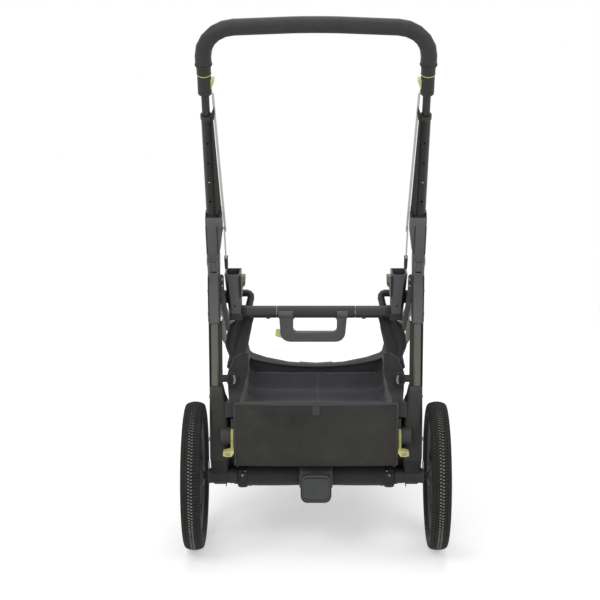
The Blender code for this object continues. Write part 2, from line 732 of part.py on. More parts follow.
def make_lock_levers():
    """Make the green foot levers on the inner side of the axle brackets."""
    for side, sign in SIDES:
        place = REAR_AXLE + Vector((0, LEVER_BACK, LEVER_RISE))
        outline = arc((place.y, place.z), LEVER_RADIUS, -20, 200, 9)
        outline += [(place.y - 0.018, place.z - 0.024), (place.y - 0.018, place.z - 0.034),
                    (place.y - 0.003, place.z - 0.034)]
        lever = extrude(f"lock_lever_{side}", [outline],
                        *band(sign, LEVER_OUTER_X - LEVER_THICKNESS, LEVER_OUTER_X), "YZ",
                        GREEN_PLASTIC)
        round_edges(lever, 0.0012)
        foot_inner = LEVER_OUTER_X - LEVER_THICKNESS
        foot_low, foot_high = band(sign, foot_inner, foot_inner + LEVER_FOOT_WIDTH)
        foot = block(f"lever_foot_{side}",
                     (foot_low, place.y - 0.033, place.z - 0.0345),
                     (foot_high, place.y - 0.012, place.z - 0.024), group=CUTTERS)
        join(lever, foot)
        join(lever, rod(f"lever_pin_{side}", side_point(sign, LEVER_OUTER_X - 0.002, place),
                        side_point(sign, 0.184, place), LEVER_PIN_RADIUS, group=CUTTERS))
        carry(pivot(f"lever_{side}_pivot", side_point(sign, LEVER_OUTER_X, place)), lever)


def make_seat_mounting():
    """Make the crossbar, the two seat adapters and the struts to the legs."""
    inner = ADAPTER_INNER_X - 2 * GAP
    core = FOLD_HANDLE_HALF + FOLD_HANDLE_GAP
    profile = [(0, inner), (CROSSBAR_RADIUS, inner), (CROSSBAR_RADIUS, core),
               (CROSSBAR_CORE_RADIUS, core), (CROSSBAR_CORE_RADIUS, -core),
               (CROSSBAR_RADIUS, -core), (CROSSBAR_RADIUS, -inner), (0, -inner)]
    turn("crossbar", profile, CROSSBAR, ALONG_X, BLACK_TUBE, closed=False)
    top = CROSSBAR.z + 0.085
    low = top - ADAPTER_HEIGHT
    back = CROSSBAR.y - ADAPTER_DEPTH / 2
    front = CROSSBAR.y + ADAPTER_DEPTH / 2
    for side, sign in SIDES:
        outline = [(ADAPTER_OUTER_X, top), (ADAPTER_INNER_X, top),
                   (ADAPTER_INNER_X, low + 0.004), (ADAPTER_INNER_X + 0.004, low),
                   (ADAPTER_OUTER_X - 0.009, low), (ADAPTER_OUTER_X, low + 0.022)]
        outline = [(sign * across, height) for across, height in outline]
        adapter = extrude(f"seat_adapter_{side}", [outline], back, front, "XZ",
                          GREY_PLASTIC)
        round_edges(adapter, 0.003)
        pocket_low, pocket_high = band(sign, ADAPTER_INNER_X + ADAPTER_WALL,
                                       ADAPTER_OUTER_X - ADAPTER_WALL)
        pocket = block(f"adapter_pocket_{side}",
                       (pocket_low, back + ADAPTER_WALL, top - POCKET_DEPTH),
                       (pocket_high, front - ADAPTER_WALL, top + 0.01), group=CUTTERS)
        cut(adapter, pocket)
        make_strut(side, sign, front)


def make_strut(side, sign, adapter_front):
    """Make the bent strut from an adapter to a leg, and its cloth sleeve.

    The strut passes just in front of the crossbar, so its slope is that of a
    tangent from the leg to a circle round the crossbar.
    """
    leg_top, leg_foot = leg_line(sign)
    share = (leg_top.z - STRUT_LEG_HEIGHT) / (leg_top.z - leg_foot.z)
    at_leg = leg_top.lerp(leg_foot, share)
    top = CROSSBAR.z + STRUT_TOP_RISE
    back = CROSSBAR.y - at_leg.y
    rise = CROSSBAR.z - at_leg.z
    passing = CROSSBAR_RADIUS + STRUT_SLEEVE_RADIUS + STRUT_PASSING_GAP
    slope = math.atan2(rise, back) - math.asin(passing / math.hypot(back, rise))
    ahead = at_leg.y + (top - at_leg.z) / math.tan(slope)
    corners = [(STRUT_TOP_X, adapter_front + GAP, top), (STRUT_TOP_X, ahead, top),
               (STRUT_BEND_X, ahead, top), (STRUT_FOOT_X, at_leg.y, at_leg.z),
               (FRAME_X - LEG_RADIUS - 2 * GAP, at_leg.y, at_leg.z)]
    corners = [(sign * x, y, z) for x, y, z in corners]
    path = rounded_path(corners, (0.010, 0.009, 0.012), 3)
    pipe(f"strut_{side}", path, STRUT_RADIUS, BLACK_TUBE)
    top = Vector(corners[2])
    foot = Vector(corners[3])
    start = top.lerp(foot, 0.27)
    length = (foot - top).length * 0.62
    ring(f"strut_sleeve_{side}", start, foot - top, length, STRUT_SLEEVE_RADIUS,
         STRUT_RADIUS + GAP, BASKET_CLOTH)


def make_fold_handle():
    """Make the turning handle on the crossbar and the trigger in its corner."""
    half = FOLD_HANDLE_HALF
    handle = rod("fold_handle", CROSSBAR - ALONG_X * half, CROSSBAR + ALONG_X * half,
                 CROSSBAR_RADIUS, BLACK_PLASTIC)
    top = CROSSBAR.z
    low = top - FOLD_HANDLE_DROP
    left = FOLD_GRIP_LEFT
    right = FOLD_GRIP_RIGHT
    corner = FOLD_GRIP_CORNER
    hidden = top + 0.0031
    outer = [(right, hidden), (left, hidden), (left + 0.003, low + TRIGGER_TOP)]
    outer += arc((left + corner + 0.003, low + corner), corner, 190, 270, 5)
    outer += arc((right - corner - 0.004, low + corner), corner, 270, 350, 5)
    window = rounded_box((left + FOLD_ARM_LEFT, low + FOLD_HANDLE_BAR),
                         (right - FOLD_ARM_RIGHT, top - CROSSBAR_RADIUS + 0.003), 0.007)
    grip = extrude("fold_grip", [outer, window], CROSSBAR.y - FOLD_HANDLE_DEPTH / 2,
                   CROSSBAR.y + FOLD_HANDLE_DEPTH / 2, "XZ", group=CUTTERS)
    round_edges(grip, 0.0035)
    tip = left + TRIGGER_REACH
    trigger_top = low + TRIGGER_TOP
    wedge = [(left - 0.0075, low + 0.011), (left - 0.006, trigger_top),
             (tip, trigger_top), (tip, low + 0.005)]
    trigger = extrude("fold_trigger", [wedge], CROSSBAR.y - TRIGGER_HALF,
                      CROSSBAR.y + TRIGGER_HALF, "XZ", GREEN_PLASTIC)
    round_edges(trigger, 0.001)
    room_end = tip + TRIGGER_TRAVEL + GAP
    room = [(left - 0.02, low - 0.004), (left - 0.02, trigger_top + GAP),
            (room_end, trigger_top + GAP), (room_end, low + 0.003)]
    pocket = extrude("trigger_room", [room], CROSSBAR.y - TRIGGER_HALF - GAP,
                     CROSSBAR.y + TRIGGER_HALF + GAP, "XZ", group=CUTTERS)
    cut(grip, pocket)
    join(handle, grip)
    cut(handle, rod("crossbar_bore", CROSSBAR - ALONG_X * 0.1, CROSSBAR + ALONG_X * 0.1,
                    CROSSBAR_CORE_RADIUS + RUNNING_CLEARANCE, group=CUTTERS))
    swing = pivot("fold_handle_pivot", CROSSBAR)
    carry(swing, handle, trigger)


def make_push_frame():
    """Make the push housings and the outer tubes that hinge on the chassis."""
    holder = pivot("push_frame_pivot", FOLD_PIVOT)
    slot = TONGUE_WIDTH / 2
    pivot_at = (FOLD_PIVOT.y, FOLD_PIVOT.z)
    lean = math.degrees(HANDLE_LEAN)
    for side, sign in SIDES:
        outline = arc(pivot_at, FOLD_EAR_RADIUS - 0.0005, 190 + lean, 350 + lean, 9)
        shoulder = HOUSING_LENGTH - 0.010
        outline += in_side_plane([(0.0195, 0.012), (0.0185, 0.060), (0.0165, shoulder),
                                  (0.0125, HOUSING_LENGTH), (-0.0125, HOUSING_LENGTH),
                                  (-0.0165, shoulder), (-0.0185, 0.060), (-0.0195, 0.012)])
        wide = HOUSING_OUTER - PUSH_INNER
        housing = extrude(f"push_housing_{side}", [outline],
                          *band(sign, wide, HOUSING_OUTER), "YZ", GREY_PLASTIC)
        low = FOLD_PIVOT.z - 2 * FOLD_EAR_RADIUS
        high = FOLD_PIVOT.z + HOUSING_LENGTH * 0.62
        taper = [(wide - 0.01, low), (HOUSING_INNER, low), (HOUSING_INNER, FOLD_PIVOT.z + 0.014),
                 (wide, high), (wide - 0.01, high)]
        taper = [(sign * across, height) for across, height in taper]
        cut(housing, extrude(f"push_taper_{side}", [taper], FOLD_PIVOT.y - 0.1,
                             FOLD_PIVOT.y + 0.1, "XZ", group=CUTTERS))
        round_edges(housing, 0.003)
        clear = FOLD_EAR_RADIUS + 0.0015
        for name, low, high in (("inner", wide - 0.002, FRAME_X - slot),
                                ("outer", FRAME_X + slot, HOUSING_OUTER + 0.002)):
            cut(housing, rod(f"{name}_ear_room_{side}", side_point(sign, low, FOLD_PIVOT),
                             side_point(sign, high, FOLD_PIVOT), clear,
                             group=CUTTERS))
        foot = side_point(sign, FRAME_X, on_handle(OUTER_TUBE_FOOT))
        cut(housing, rod(f"tube_socket_{side}", foot - HANDLE_UP * GAP,
                         foot + HANDLE_UP * 0.1, OUTER_TUBE_RADIUS + GAP, group=CUTTERS))
        cut(housing, rod(f"push_bore_{side}", side_point(sign, 0.17, FOLD_PIVOT),
                         side_point(sign, 0.24, FOLD_PIVOT),
                         FOLD_PIN_RADIUS + RUNNING_CLEARANCE, group=CUTTERS))
        tube = make_outer_tube(side, sign, foot)
        carry(holder, housing, tube)
    return holder


def make_outer_tube(side, sign, foot):
    """Make one outer tube with its rim and the row of height holes."""
    length = OUTER_TUBE_TOP - OUTER_TUBE_FOOT
    bore = INNER_TUBE_RADIUS + SLIDE_CLEARANCE
    rim = OUTER_TUBE_RADIUS + OUTER_TUBE_RIM
    profile = [(bore, length), (rim, length), (rim, length - 0.008),
               (OUTER_TUBE_RADIUS, length - 0.010), (OUTER_TUBE_RADIUS, 0), (bore, 0)]
    tube = turn(f"outer_tube_{side}", profile, foot, HANDLE_UP, BLACK_TUBE)
    first = OUTER_TUBE_TOP - HEIGHT_HOLE_DROP
    for index in range(HEIGHT_HOLES):
        middle = side_point(sign, FRAME_X, on_handle(first - index * HEIGHT_HOLE_PITCH))
        cut(tube, rod(f"height_hole_{side}_{index}", middle - HANDLE_AHEAD * 0.02, middle,
                      HEIGHT_HOLE_RADIUS, group=CUTTERS, steps=8))
    return tube


def make_handlebar(frame_pivot):
    """Make the bent bar, its grip, the height adjusters and release rods."""
    holder = pivot("handlebar_slide", on_handle(OUTER_TUBE_TOP))
    carry(frame_pivot, holder)
    crown = on_handle(HANDLE_LENGTH)
    corner = on_handle(HANDLE_LENGTH - HANDLE_CROWN)
    radii = (HANDLE_BEND_RADIUS, HANDLE_CROWN_RADIUS, HANDLE_BEND_RADIUS)

    def bar_path(foot):
        start = on_handle(foot)
        corners = [side_point(-1, FRAME_X, start), side_point(-1, FRAME_X, corner), crown,
                   side_point(1, FRAME_X, corner), side_point(1, FRAME_X, start)]
        return rounded_path(corners, radii, 5)

    bar = pipe("handlebar_tube", bar_path(INNER_TUBE_FOOT), INNER_TUBE_RADIUS,
               BLACK_TUBE)
    collar_foot = ADJUSTER_FOOT + ADJUSTER_LENGTH + COLLAR_RING_GAP
    grip_foot = collar_foot + GRIP_COLLAR_LENGTH + GAP
    grip = pipe("handle_grip", bar_path(grip_foot), GRIP_RADIUS, GRIP_COVER,
                meshed=True)
    bore = pipe("grip_bore", bar_path(grip_foot - 0.01), INNER_TUBE_RADIUS + 2 * GAP,
                group=CUTTERS, meshed=True)
    cut(grip, bore)
    carry(holder, bar, grip)
    for side, sign in SIDES:
        carry(holder, *make_adjuster(side, sign, collar_foot))


def make_adjuster(side, sign, collar_foot):
    """Make one height adjuster, its collar, its rod and its button."""
    bore = INNER_TUBE_RADIUS + 2 * GAP
    foot = side_point(sign, FRAME_X, on_handle(ADJUSTER_FOOT))
    length = ADJUSTER_LENGTH
    profile = [(bore, length), (ADJUSTER_RADIUS - GAP, length),
               (ADJUSTER_RADIUS, ADJUSTER_LIP), (ADJUSTER_RADIUS, 0), (bore, 0)]
    adjuster = turn(f"height_adjuster_{side}", profile, foot, HANDLE_UP, BLACK_PLASTIC)
    collar_at = side_point(sign, FRAME_X, on_handle(collar_foot))
    profile = [(bore, GRIP_COLLAR_LENGTH), (GRIP_RADIUS - GRIP_COLLAR_STEP, GRIP_COLLAR_LENGTH),
               (ADJUSTER_RADIUS, 0), (bore, 0)]
    collar = turn(f"grip_collar_{side}", profile, collar_at, HANDLE_UP, BLACK_PLASTIC)

    inner = FRAME_X - ADJUSTER_RADIUS - BUTTON_PROUD
    outer = FRAME_X - INNER_TUBE_RADIUS - BUTTON_TRAVEL - 0.001
    low = ADJUSTER_FOOT + BUTTON_RISE
    high = low + BUTTON_LENGTH

    def button_block(name, slack, reach, group, finish=None):
        x_low, x_high = band(sign, inner - reach, outer + reach)
        half = BUTTON_HALF + slack
        outline = rounded_box((-half, low - slack), (half, high + slack), 0.003)
        return extrude(name, [in_side_plane(outline)], x_low, x_high, "YZ", finish, group)

    button = button_block(f"adjuster_button_{side}", 0.0, 0.0, PARTS, GREEN_PLASTIC)
    round_edges(button, 0.001)
    cut(adjuster, button_block(f"button_room_{side}", GAP, 0.004, CUTTERS))
    corners = []
    for up, inset in ((ROD_FOOT, ROD_FOOT_INSET), (ADJUSTER_FOOT - GAP, ROD_TOP_INSET)):
        for ahead in (-0.001, ROD_DEPTH - 0.001):
            for across in (FRAME_X - inset, FRAME_X - inset - ROD_WIDTH):
                corners.append(side_point(sign, across, on_handle(up, ahead)))
    release = hull(f"release_rod_{side}", corners, PALE_METAL)
    return adjuster, collar, button, release


def make_front_frame():
    """Make the front legs, the caster housings and the bow between the legs."""
    holder = pivot("front_frame_pivot", LEG_PIVOT)
    slot = TONGUE_WIDTH / 2
    for side, sign in SIDES:
        top = side_point(sign, FRAME_X, LEG_PIVOT)
        swivel = side_point(sign, FRONT_WHEEL_X, CASTER)
        down = (swivel - top).normalized()
        end = swivel - down * (CASTER_RADIUS + 0.003)
        leg = rod(f"front_leg_{side}", top + down * 0.034, end, LEG_RADIUS, BLACK_TUBE)
        angle = math.degrees(math.atan2(down.z, down.y))
        pivot_at = (LEG_PIVOT.y, LEG_PIVOT.z)
        reach = 0.060
        half = 0.009
        ahead = (down.y, down.z)
        tip = [(pivot_at[0] + ahead[0] * reach - ahead[1] * across,
                pivot_at[1] + ahead[1] * reach + ahead[0] * across)
               for across in (-half, half)]
        outline = arc(pivot_at, LEG_EAR_RADIUS - 0.001, angle + 60, angle + 300, 11) + tip
        join(leg, extrude(f"leg_tongue_{side}", [outline],
                          *band(sign, FRAME_X - slot, FRAME_X + slot), "YZ",
                          group=CUTTERS))
        cut(leg, rod(f"leg_tongue_bore_{side}", side_point(sign, 0.17, LEG_PIVOT),
                     side_point(sign, 0.24, LEG_PIVOT), LEG_PIN_RADIUS + RUNNING_CLEARANCE,
                     group=CUTTERS))
        housing = rod(f"caster_housing_{side}",
                      swivel - Vector((0, 0, CASTER_LENGTH / 2)),
                      swivel + Vector((0, 0, CASTER_LENGTH / 2)), CASTER_RADIUS,
                      GREY_PLASTIC, steps=HUB_STEPS)
        round_edges(housing, 0.004)
        join(housing, rod(f"caster_socket_{side}", swivel - down * 0.062,
                          swivel - down * 0.004, LEG_RADIUS + 0.004, group=CUTTERS))
        cut(housing, rod(f"caster_leg_bore_{side}", swivel - down * 0.08,
                         swivel - down * (CASTER_RADIUS + 0.003 - GAP),
                         LEG_RADIUS + GAP, group=CUTTERS))
        cut(housing, rod(f"caster_bore_{side}",
                         swivel - Vector((0, 0, CASTER_LENGTH)),
                         swivel + Vector((0, 0, CASTER_LENGTH / 2 - 0.005)),
                         CASTER_STEM_RADIUS + RUNNING_CLEARANCE, group=CUTTERS))
        carry(holder, leg, housing)
    carry(holder, make_front_bow())
    for side, sign in SIDES:
        carry(holder, bpy.data.objects[f"caster_{side}_swivel"])


def make_front_bow():
    """Make the bow, which droops from leg to leg in front of the basket."""
    leg_x = FRAME_X + (FRONT_WHEEL_X - FRAME_X) * BOW_SHARE
    joint = LEG_PIVOT.lerp(CASTER, BOW_SHARE)
    end = Vector((leg_x - LEG_RADIUS - 2 * GAP, joint.y, joint.z))
    basket_front = REAR_AXLE.y - BASKET_BACK + BASKET_LENGTH
    reach = end.y - (basket_front + BOW_GAP + BOW_RADIUS)
    points = [end.copy()]
    end.x -= BOW_STUB
    for share, fall in BOW_STATIONS:
        back = 1 - (1 - share) ** 2
        points.append(Vector((end.x * (1 - share), end.y - reach * back,
                              end.z - BOW_DROP * fall)))
    left = [Vector((-point.x, point.y, point.z)) for point in points]
    return pipe("front_bow", left + list(reversed(points))[1:], BOW_RADIUS, GREY_PLASTIC)


def make_basket():
    """Make the cloth basket as an open tub, and the panel behind it."""
    base = REAR_AXLE.y
    work = bmesh.new()
    sections = []
    for along, fall, lift, share in BASKET_STATIONS:
        ahead = BASKET_LENGTH * along - BASKET_BACK
        rim = BASKET_RIM - BASKET_RIM_FALL * fall
        floor = BASKET_FLOOR + BASKET_NOSE_LIFT * lift
        wide = BASKET_HALF * share
        corner = min(BASKET_CORNER, (rim - floor) * 0.6)
        eased = corner * 0.3
        outline = [(-wide, rim), (-wide, floor + corner), (-wide + eased, floor + eased),
                   (-wide + corner, floor), (0, floor - 0.002), (wide - corner, floor),
                   (wide - eased, floor + eased), (wide, floor + corner), (wide, rim)]
        sections.append([work.verts.new((x, base + ahead, z)) for x, z in outline])
    for back, front in zip(sections, sections[1:]):
        for index in range(len(back) - 1):
            work.faces.new((back[index], back[index + 1], front[index + 1], front[index]))
    work.faces.new(list(reversed(sections[0])))
    work.faces.new(sections[-1])
    bmesh.ops.recalc_face_normals(work, faces=work.faces)
    mesh = bpy.data.meshes.new("basket")
    work.to_mesh(mesh)
    work.free()
    basket = add("basket", mesh, BASKET_CLOTH)
    shell = basket.modifiers.new("Cloth", "SOLIDIFY")
    shell.thickness = BASKET_WALL
    shell.offset = 1.0
    shell.use_even_offset = True

    outline = rounded_box((-PANEL_HALF, BASKET_FLOOR + BASKET_WALL),
                          (PANEL_HALF, PANEL_TOP), 0.010)
    back = base - BASKET_BACK - BASKET_WALL - PANEL_SLACK
    panel = extrude("basket_rear_panel", [outline], back - PANEL_THICKNESS, back, "XZ",
                    BASKET_CLOTH)
    round_edges(panel, 0.001)


def build():
    """Make every piece of the chassis."""
    make_rear_axle()
    make_brake_pedal()
    make_rear_wheels()
    make_side_housings()
    make_rear_legs()
    make_lock_levers()
    make_seat_mounting()
    make_fold_handle()
    make_handlebar(make_push_frame())
    make_casters()
    make_front_frame()
    make_basket()
    bpy.context.view_layer.update()


build()
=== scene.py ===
"""Looks of the travel system stroller chassis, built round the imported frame.

+X is the stroller's right, +Y its front and +Z up, in metres.
"""
import json
import math

import bmesh
import bpy
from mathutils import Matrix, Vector, noise


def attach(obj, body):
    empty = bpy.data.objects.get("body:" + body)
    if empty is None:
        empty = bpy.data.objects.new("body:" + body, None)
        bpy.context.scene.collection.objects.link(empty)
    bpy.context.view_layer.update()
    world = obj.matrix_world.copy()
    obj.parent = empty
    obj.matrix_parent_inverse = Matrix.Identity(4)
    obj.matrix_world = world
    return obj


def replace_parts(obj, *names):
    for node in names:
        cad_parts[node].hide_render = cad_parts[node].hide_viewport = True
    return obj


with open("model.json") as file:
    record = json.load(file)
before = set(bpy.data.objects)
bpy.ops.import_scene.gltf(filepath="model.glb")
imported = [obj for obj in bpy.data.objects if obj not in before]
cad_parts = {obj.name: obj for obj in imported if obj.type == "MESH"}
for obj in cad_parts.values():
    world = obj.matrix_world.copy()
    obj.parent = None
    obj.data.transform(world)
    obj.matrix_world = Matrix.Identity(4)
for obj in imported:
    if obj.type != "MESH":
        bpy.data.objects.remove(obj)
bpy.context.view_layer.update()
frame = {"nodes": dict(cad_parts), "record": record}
NODES = frame["nodes"]
BODIES = frame["record"]["behaviour"]["bodies"]
BODY_OF = {node: body for body, members in BODIES.items() for node in members}
SLOT_OF = {part["node"]: part["material_slot"] for part in frame["record"]["subparts"]}
SIDES = (("left", -1), ("right", 1))

# The sizes that the frame was built from
REAR_AXLE = Vector((0, -0.288, 0.1525))
FRONT_AXLE = Vector((0, 0.412, 0.095))
FOLD_PIVOT = Vector((0, -0.258, 0.6))
CROSSBAR = Vector((0, -0.213, 0.482))
LEVER = Vector((0, -0.3, 0.244))
STRUT_TOP = Vector((0.133, -0.161, 0.508))
STRUT_FOOT = Vector((0.172, -0.2742, 0.358))
FRAME_X = 0.205
HOUSING_OUTER = 0.217
HOUSING_TOP = 0.118
OUTER_TUBE_TOP = 0.351
ADJUSTER_TOP = 0.4408
HOLES = tuple(OUTER_TUBE_TOP - 0.058 - 0.0456 * index for index in range(4))
REAR_WHEEL_X = 0.249
FRONT_WHEEL_X = 0.188
# Radius, depth of the tyre and width of each wheel
REAR_WHEEL = (0.1525, 0.0335, 0.04)
FRONT_WHEEL = (0.095, 0.024, 0.036)

HANDLE_LEAN = math.radians(25.5)
HANDLE_UP = Vector((0, -math.sin(HANDLE_LEAN), math.cos(HANDLE_LEAN)))
HANDLE_AHEAD = Vector((0, math.cos(HANDLE_LEAN), math.sin(HANDLE_LEAN)))
ALONG_X = Vector((1, 0, 0))
BACKWARDS = Vector((0, -1, 0))


# Materials

class Nodes:
    """The shader nodes of a material or of the world."""

    def __init__(self, owner):
        owner.use_nodes = True
        self.tree = owner.node_tree

    def feed(self, made, inputs):
        """Set a node's inputs, each from a value or from the socket that feeds it."""
        for key, value in inputs.items():
            if isinstance(value, bpy.types.NodeSocket):
                self.tree.links.new(value, made.inputs[key])
            else:
                made.inputs[key].default_value = value

    def add(self, kind, inputs=None, **settings):
        made = self.tree.nodes.new("ShaderNode" + kind)
        for key, value in settings.items():
            setattr(made, key, value)
        self.feed(made, inputs or {})
        return made

    def maths(self, operation, first, second):
        return self.add("Math", {0: first, 1: second}, operation=operation).outputs["Value"]

    def mapped(self, value, low, high, to_low=0.0, to_high=1.0):
        return self.add("MapRange", {"Value": value, "From Min": low, "From Max": high,
                                     "To Min": to_low, "To Max": to_high}).outputs["Result"]

    def spread(self, cloud, to_low=0.0, to_high=1.0):
        """Map the middle of a noise, where nearly all of it lies."""
        return self.mapped(cloud, 0.3, 0.7, to_low, to_high)

    def mixed(self, share, first, second):
        """Mix two colours, each a tuple or a socket, by a share."""
        first, second = ((*value, 1.0) if isinstance(value, tuple) else value
                         for value in (first, second))
        return self.add("Mix", {"Factor": share, "A": first, "B": second},
                        data_type="RGBA").outputs["Result"]


class Skin(Nodes):
    """The nodes of a new material, which read the object's own coordinates."""

    def __init__(self, name):
        self.material = bpy.data.materials.new(name)
        super().__init__(self.material)
        self.shader = self.tree.nodes["Principled BSDF"]
        self.place = self.add("TexCoord").outputs["Object"]

    def noise(self, scale, detail=4.0, roughness=0.55):
        return self.add("TexNoise", {"Vector": self.place, "Scale": scale, "Detail": detail,
                                     "Roughness": roughness}).outputs["Fac"]

    def bump(self, height, strength, distance, below=None):
        inputs = {"Height": height, "Strength": strength, "Distance": distance}
        if below is not None:
            inputs["Normal"] = below
        normal = self.add("Bump", inputs).outputs["Normal"]
        self.feed(self.shader, {"Normal": normal})
        return normal

    def worn_edges(self, colour, light, gain, lift, amount):
        """Lighten the sharp outer edges a little, as handling does."""
        pointed = self.add("NewGeometry").outputs["Pointiness"]
        worn = tuple(min(1.0, value * gain + lift) for value in light)
        return self.mixed(self.mapped(pointed, 0.53, 0.62, 0.0, amount), colour, worn)

    def by_height(self, shade, other, low, high):
        """Change a colour to another between two heights, downwards."""
        height = self.add("SeparateXYZ", {"Vector": self.place}).outputs["Z"]
        return self.mixed(self.mapped(height, low, high), other, shade)


def plastic(name, colour, light, rough=0.5, below=None):
    """Moulded plastic with a fine spark-eroded grain; below is (colour, low, high)."""
    skin = Skin(name)
    shade = skin.mixed(skin.spread(skin.noise(34.0, 3.0)), colour, light)
    if below:
        shade = skin.by_height(shade, *below)
    grain = skin.noise(900.0, 2.0)
    skin.feed(skin.shader, {"Base Color": skin.worn_edges(shade, light, 1.9, 0.01, 0.35),
                            "Roughness": skin.spread(grain, rough - 0.07, rough + 0.09),
                            "Specular IOR Level": 0.28})
    skin.bump(grain, 0.35, 0.00006)
    return skin.material


def painted(name, colour, light, rough, metallic, below=None):
    """Anodised or powder-coated tube, with a fine orange peel."""
    skin = Skin(name)
    shade = skin.mixed(skin.spread(skin.noise(18.0, 3.0)), colour, light)
    if below:
        shade = skin.by_height(shade, *below)
    peel = skin.noise(520.0, 3.0)
    skin.feed(skin.shader, {"Base Color": skin.worn_edges(shade, light, 2.2, 0.02, 0.4),
                            "Roughness": skin.spread(peel, rough - 0.06, rough + 0.08),
                            "Metallic": metallic, "Specular IOR Level": 0.3})
    skin.bump(peel, 0.18, 0.00004)
    return skin.material


def brushed(name, colour, light, rough=0.3):
    """Bare metal with fine scratches and a cloudy shine."""
    skin = Skin(name)
    skin.place = skin.add("Mapping", {"Vector": skin.place,
                                      "Scale": (1.0, 1.0, 14.0)}).outputs["Vector"]
    lines = skin.noise(160.0, 5.0)
    skin.feed(skin.shader, {"Base Color": skin.mixed(skin.mapped(lines, 0.35, 0.65), colour, light),
                            "Roughness": skin.spread(lines, rough - 0.08, rough + 0.12),
                            "Metallic": 1.0})
    skin.bump(lines, 0.12, 0.00003)
    return skin.material


def leather(name, colour, light):
    """Grained cover of the grip: cells of about a millimetre and creases."""
    skin = Skin(name)
    cells = skin.add("TexVoronoi", {"Vector": skin.place, "Scale": 780.0},
                     feature="DISTANCE_TO_EDGE")
    crease = skin.mapped(cells.outputs["Distance"], 0.0, 0.22)
    cloud = skin.noise(42.0, 4.0)
    shade = skin.mixed(skin.spread(cloud), colour, light)
    # Darker colour in the creases between the grain's cells: painted shade.
    shade = skin.mixed(crease, tuple(value * 0.45 for value in colour), shade)
    skin.feed(skin.shader, {"Base Color": shade,
                            "Roughness": skin.mapped(crease, 0.0, 1.0, 0.72, 0.5)})
    skin.bump(crease, 0.5, 0.00018, skin.bump(cloud, 0.3, 0.0006))
    return skin.material


def woven(name, colour, light, thread=0.0007, painted_shade_scale=None):
    """Plain weave: two sets of threads that pass over and under each other."""
    skin = Skin(name)
    waves = [skin.add("TexWave", {"Vector": skin.place, "Scale": 2 * math.pi / 20 / thread,
                                  "Distortion": 0.6, "Detail": 2.0, "Detail Scale": 0.4},
                      wave_type="BANDS", bands_direction=direction).outputs["Fac"]
             for direction in ("X", "Z")]
    cross = skin.maths("MULTIPLY", *waves)
    cloud = skin.noise(26.0, 5.0, 0.6)
    # Where a scale is given, a slow noise darkens broad patches, the painted shade of folds; else the
    # tone varies at random.
    tone_and_painted_shade = skin.noise(painted_shade_scale, 2.0, 0.5) if painted_shade_scale else cloud
    shade = skin.mixed(skin.spread(tone_and_painted_shade), colour, light)
    # Darker colour in the gaps between the threads: painted shade.
    shade = skin.mixed(skin.mapped(cross, 0.0, 0.6, 0.55, 0.0), shade,
                       tuple(value * 0.4 for value in colour))
    skin.feed(skin.shader, {"Base Color": shade, "Roughness": skin.spread(cloud, 0.77, 0.93),
                            "Sheen Weight": 0.25, "Sheen Roughness": 0.5})
    skin.bump(cross, 0.45, 0.00022, skin.bump(cloud, 0.25, 0.0012))
    return skin.material


def rubber(name, colour, dust_and_highlight):
    """Tyre rubber, a little dusty, with a matt skin; the tread's pale notch marks use it as painted
    highlight.
    """
    skin = Skin(name)
    cloud = skin.noise(30.0, 6.0, 0.62)
    shade = skin.mixed(skin.mapped(cloud, 0.42, 0.75, 0.0, 0.8), colour, dust_and_highlight)
    skin.feed(skin.shader, {"Base Color": skin.worn_edges(shade, dust_and_highlight, 2.0, 0.015, 0.5),
                            "Roughness": skin.spread(cloud, 0.66, 0.86),
                            "Specular IOR Level": 0.22})
    skin.bump(skin.noise(1100.0, 2.0), 0.3, 0.00008)
    return skin.material


BLACK_TUBE = painted("black_tube_coat", (0.022, 0.022, 0.02), (0.03, 0.03, 0.027), 0.44, 0.3)
# Towards the bottom the coat turns greenish brown: painted reflection.
PAINTED_REFLECTION_TUBE_COAT = painted("tube_coat_painted_reflection", (0.07, 0.071, 0.066), (0.086, 0.087, 0.08), 0.4, 0.4,
                     ((0.112, 0.107, 0.078), 0.36, 0.47))
PALE_METAL = brushed("pale_metal_skin", (0.36, 0.36, 0.355), (0.48, 0.48, 0.47), 0.38)
STEEL = brushed("steel_skin", (0.3, 0.3, 0.3), (0.44, 0.44, 0.44))
GREY_PLASTIC = plastic("grey_plastic_skin", (0.06, 0.062, 0.064), (0.076, 0.078, 0.08), 0.48)
DARK_PLASTIC = plastic("dark_plastic_skin", (0.034, 0.034, 0.034), (0.046, 0.046, 0.046))
BLACK_PLASTIC = plastic("black_plastic_skin", (0.016, 0.016, 0.015), (0.024, 0.024, 0.022), 0.52)
OLIVE_PLASTIC = plastic("olive_plastic_skin", (0.105, 0.102, 0.082), (0.13, 0.126, 0.102), 0.46)
GREEN_PLASTIC = plastic("green_plastic_skin", (0.56, 0.56, 0.17), (0.66, 0.65, 0.24), 0.42)
HANDLE_PLASTIC = plastic("fold_handle_skin", (0.02, 0.02, 0.019), (0.03, 0.03, 0.028),
                         below=((0.088, 0.096, 0.09), 0.4715, 0.473))
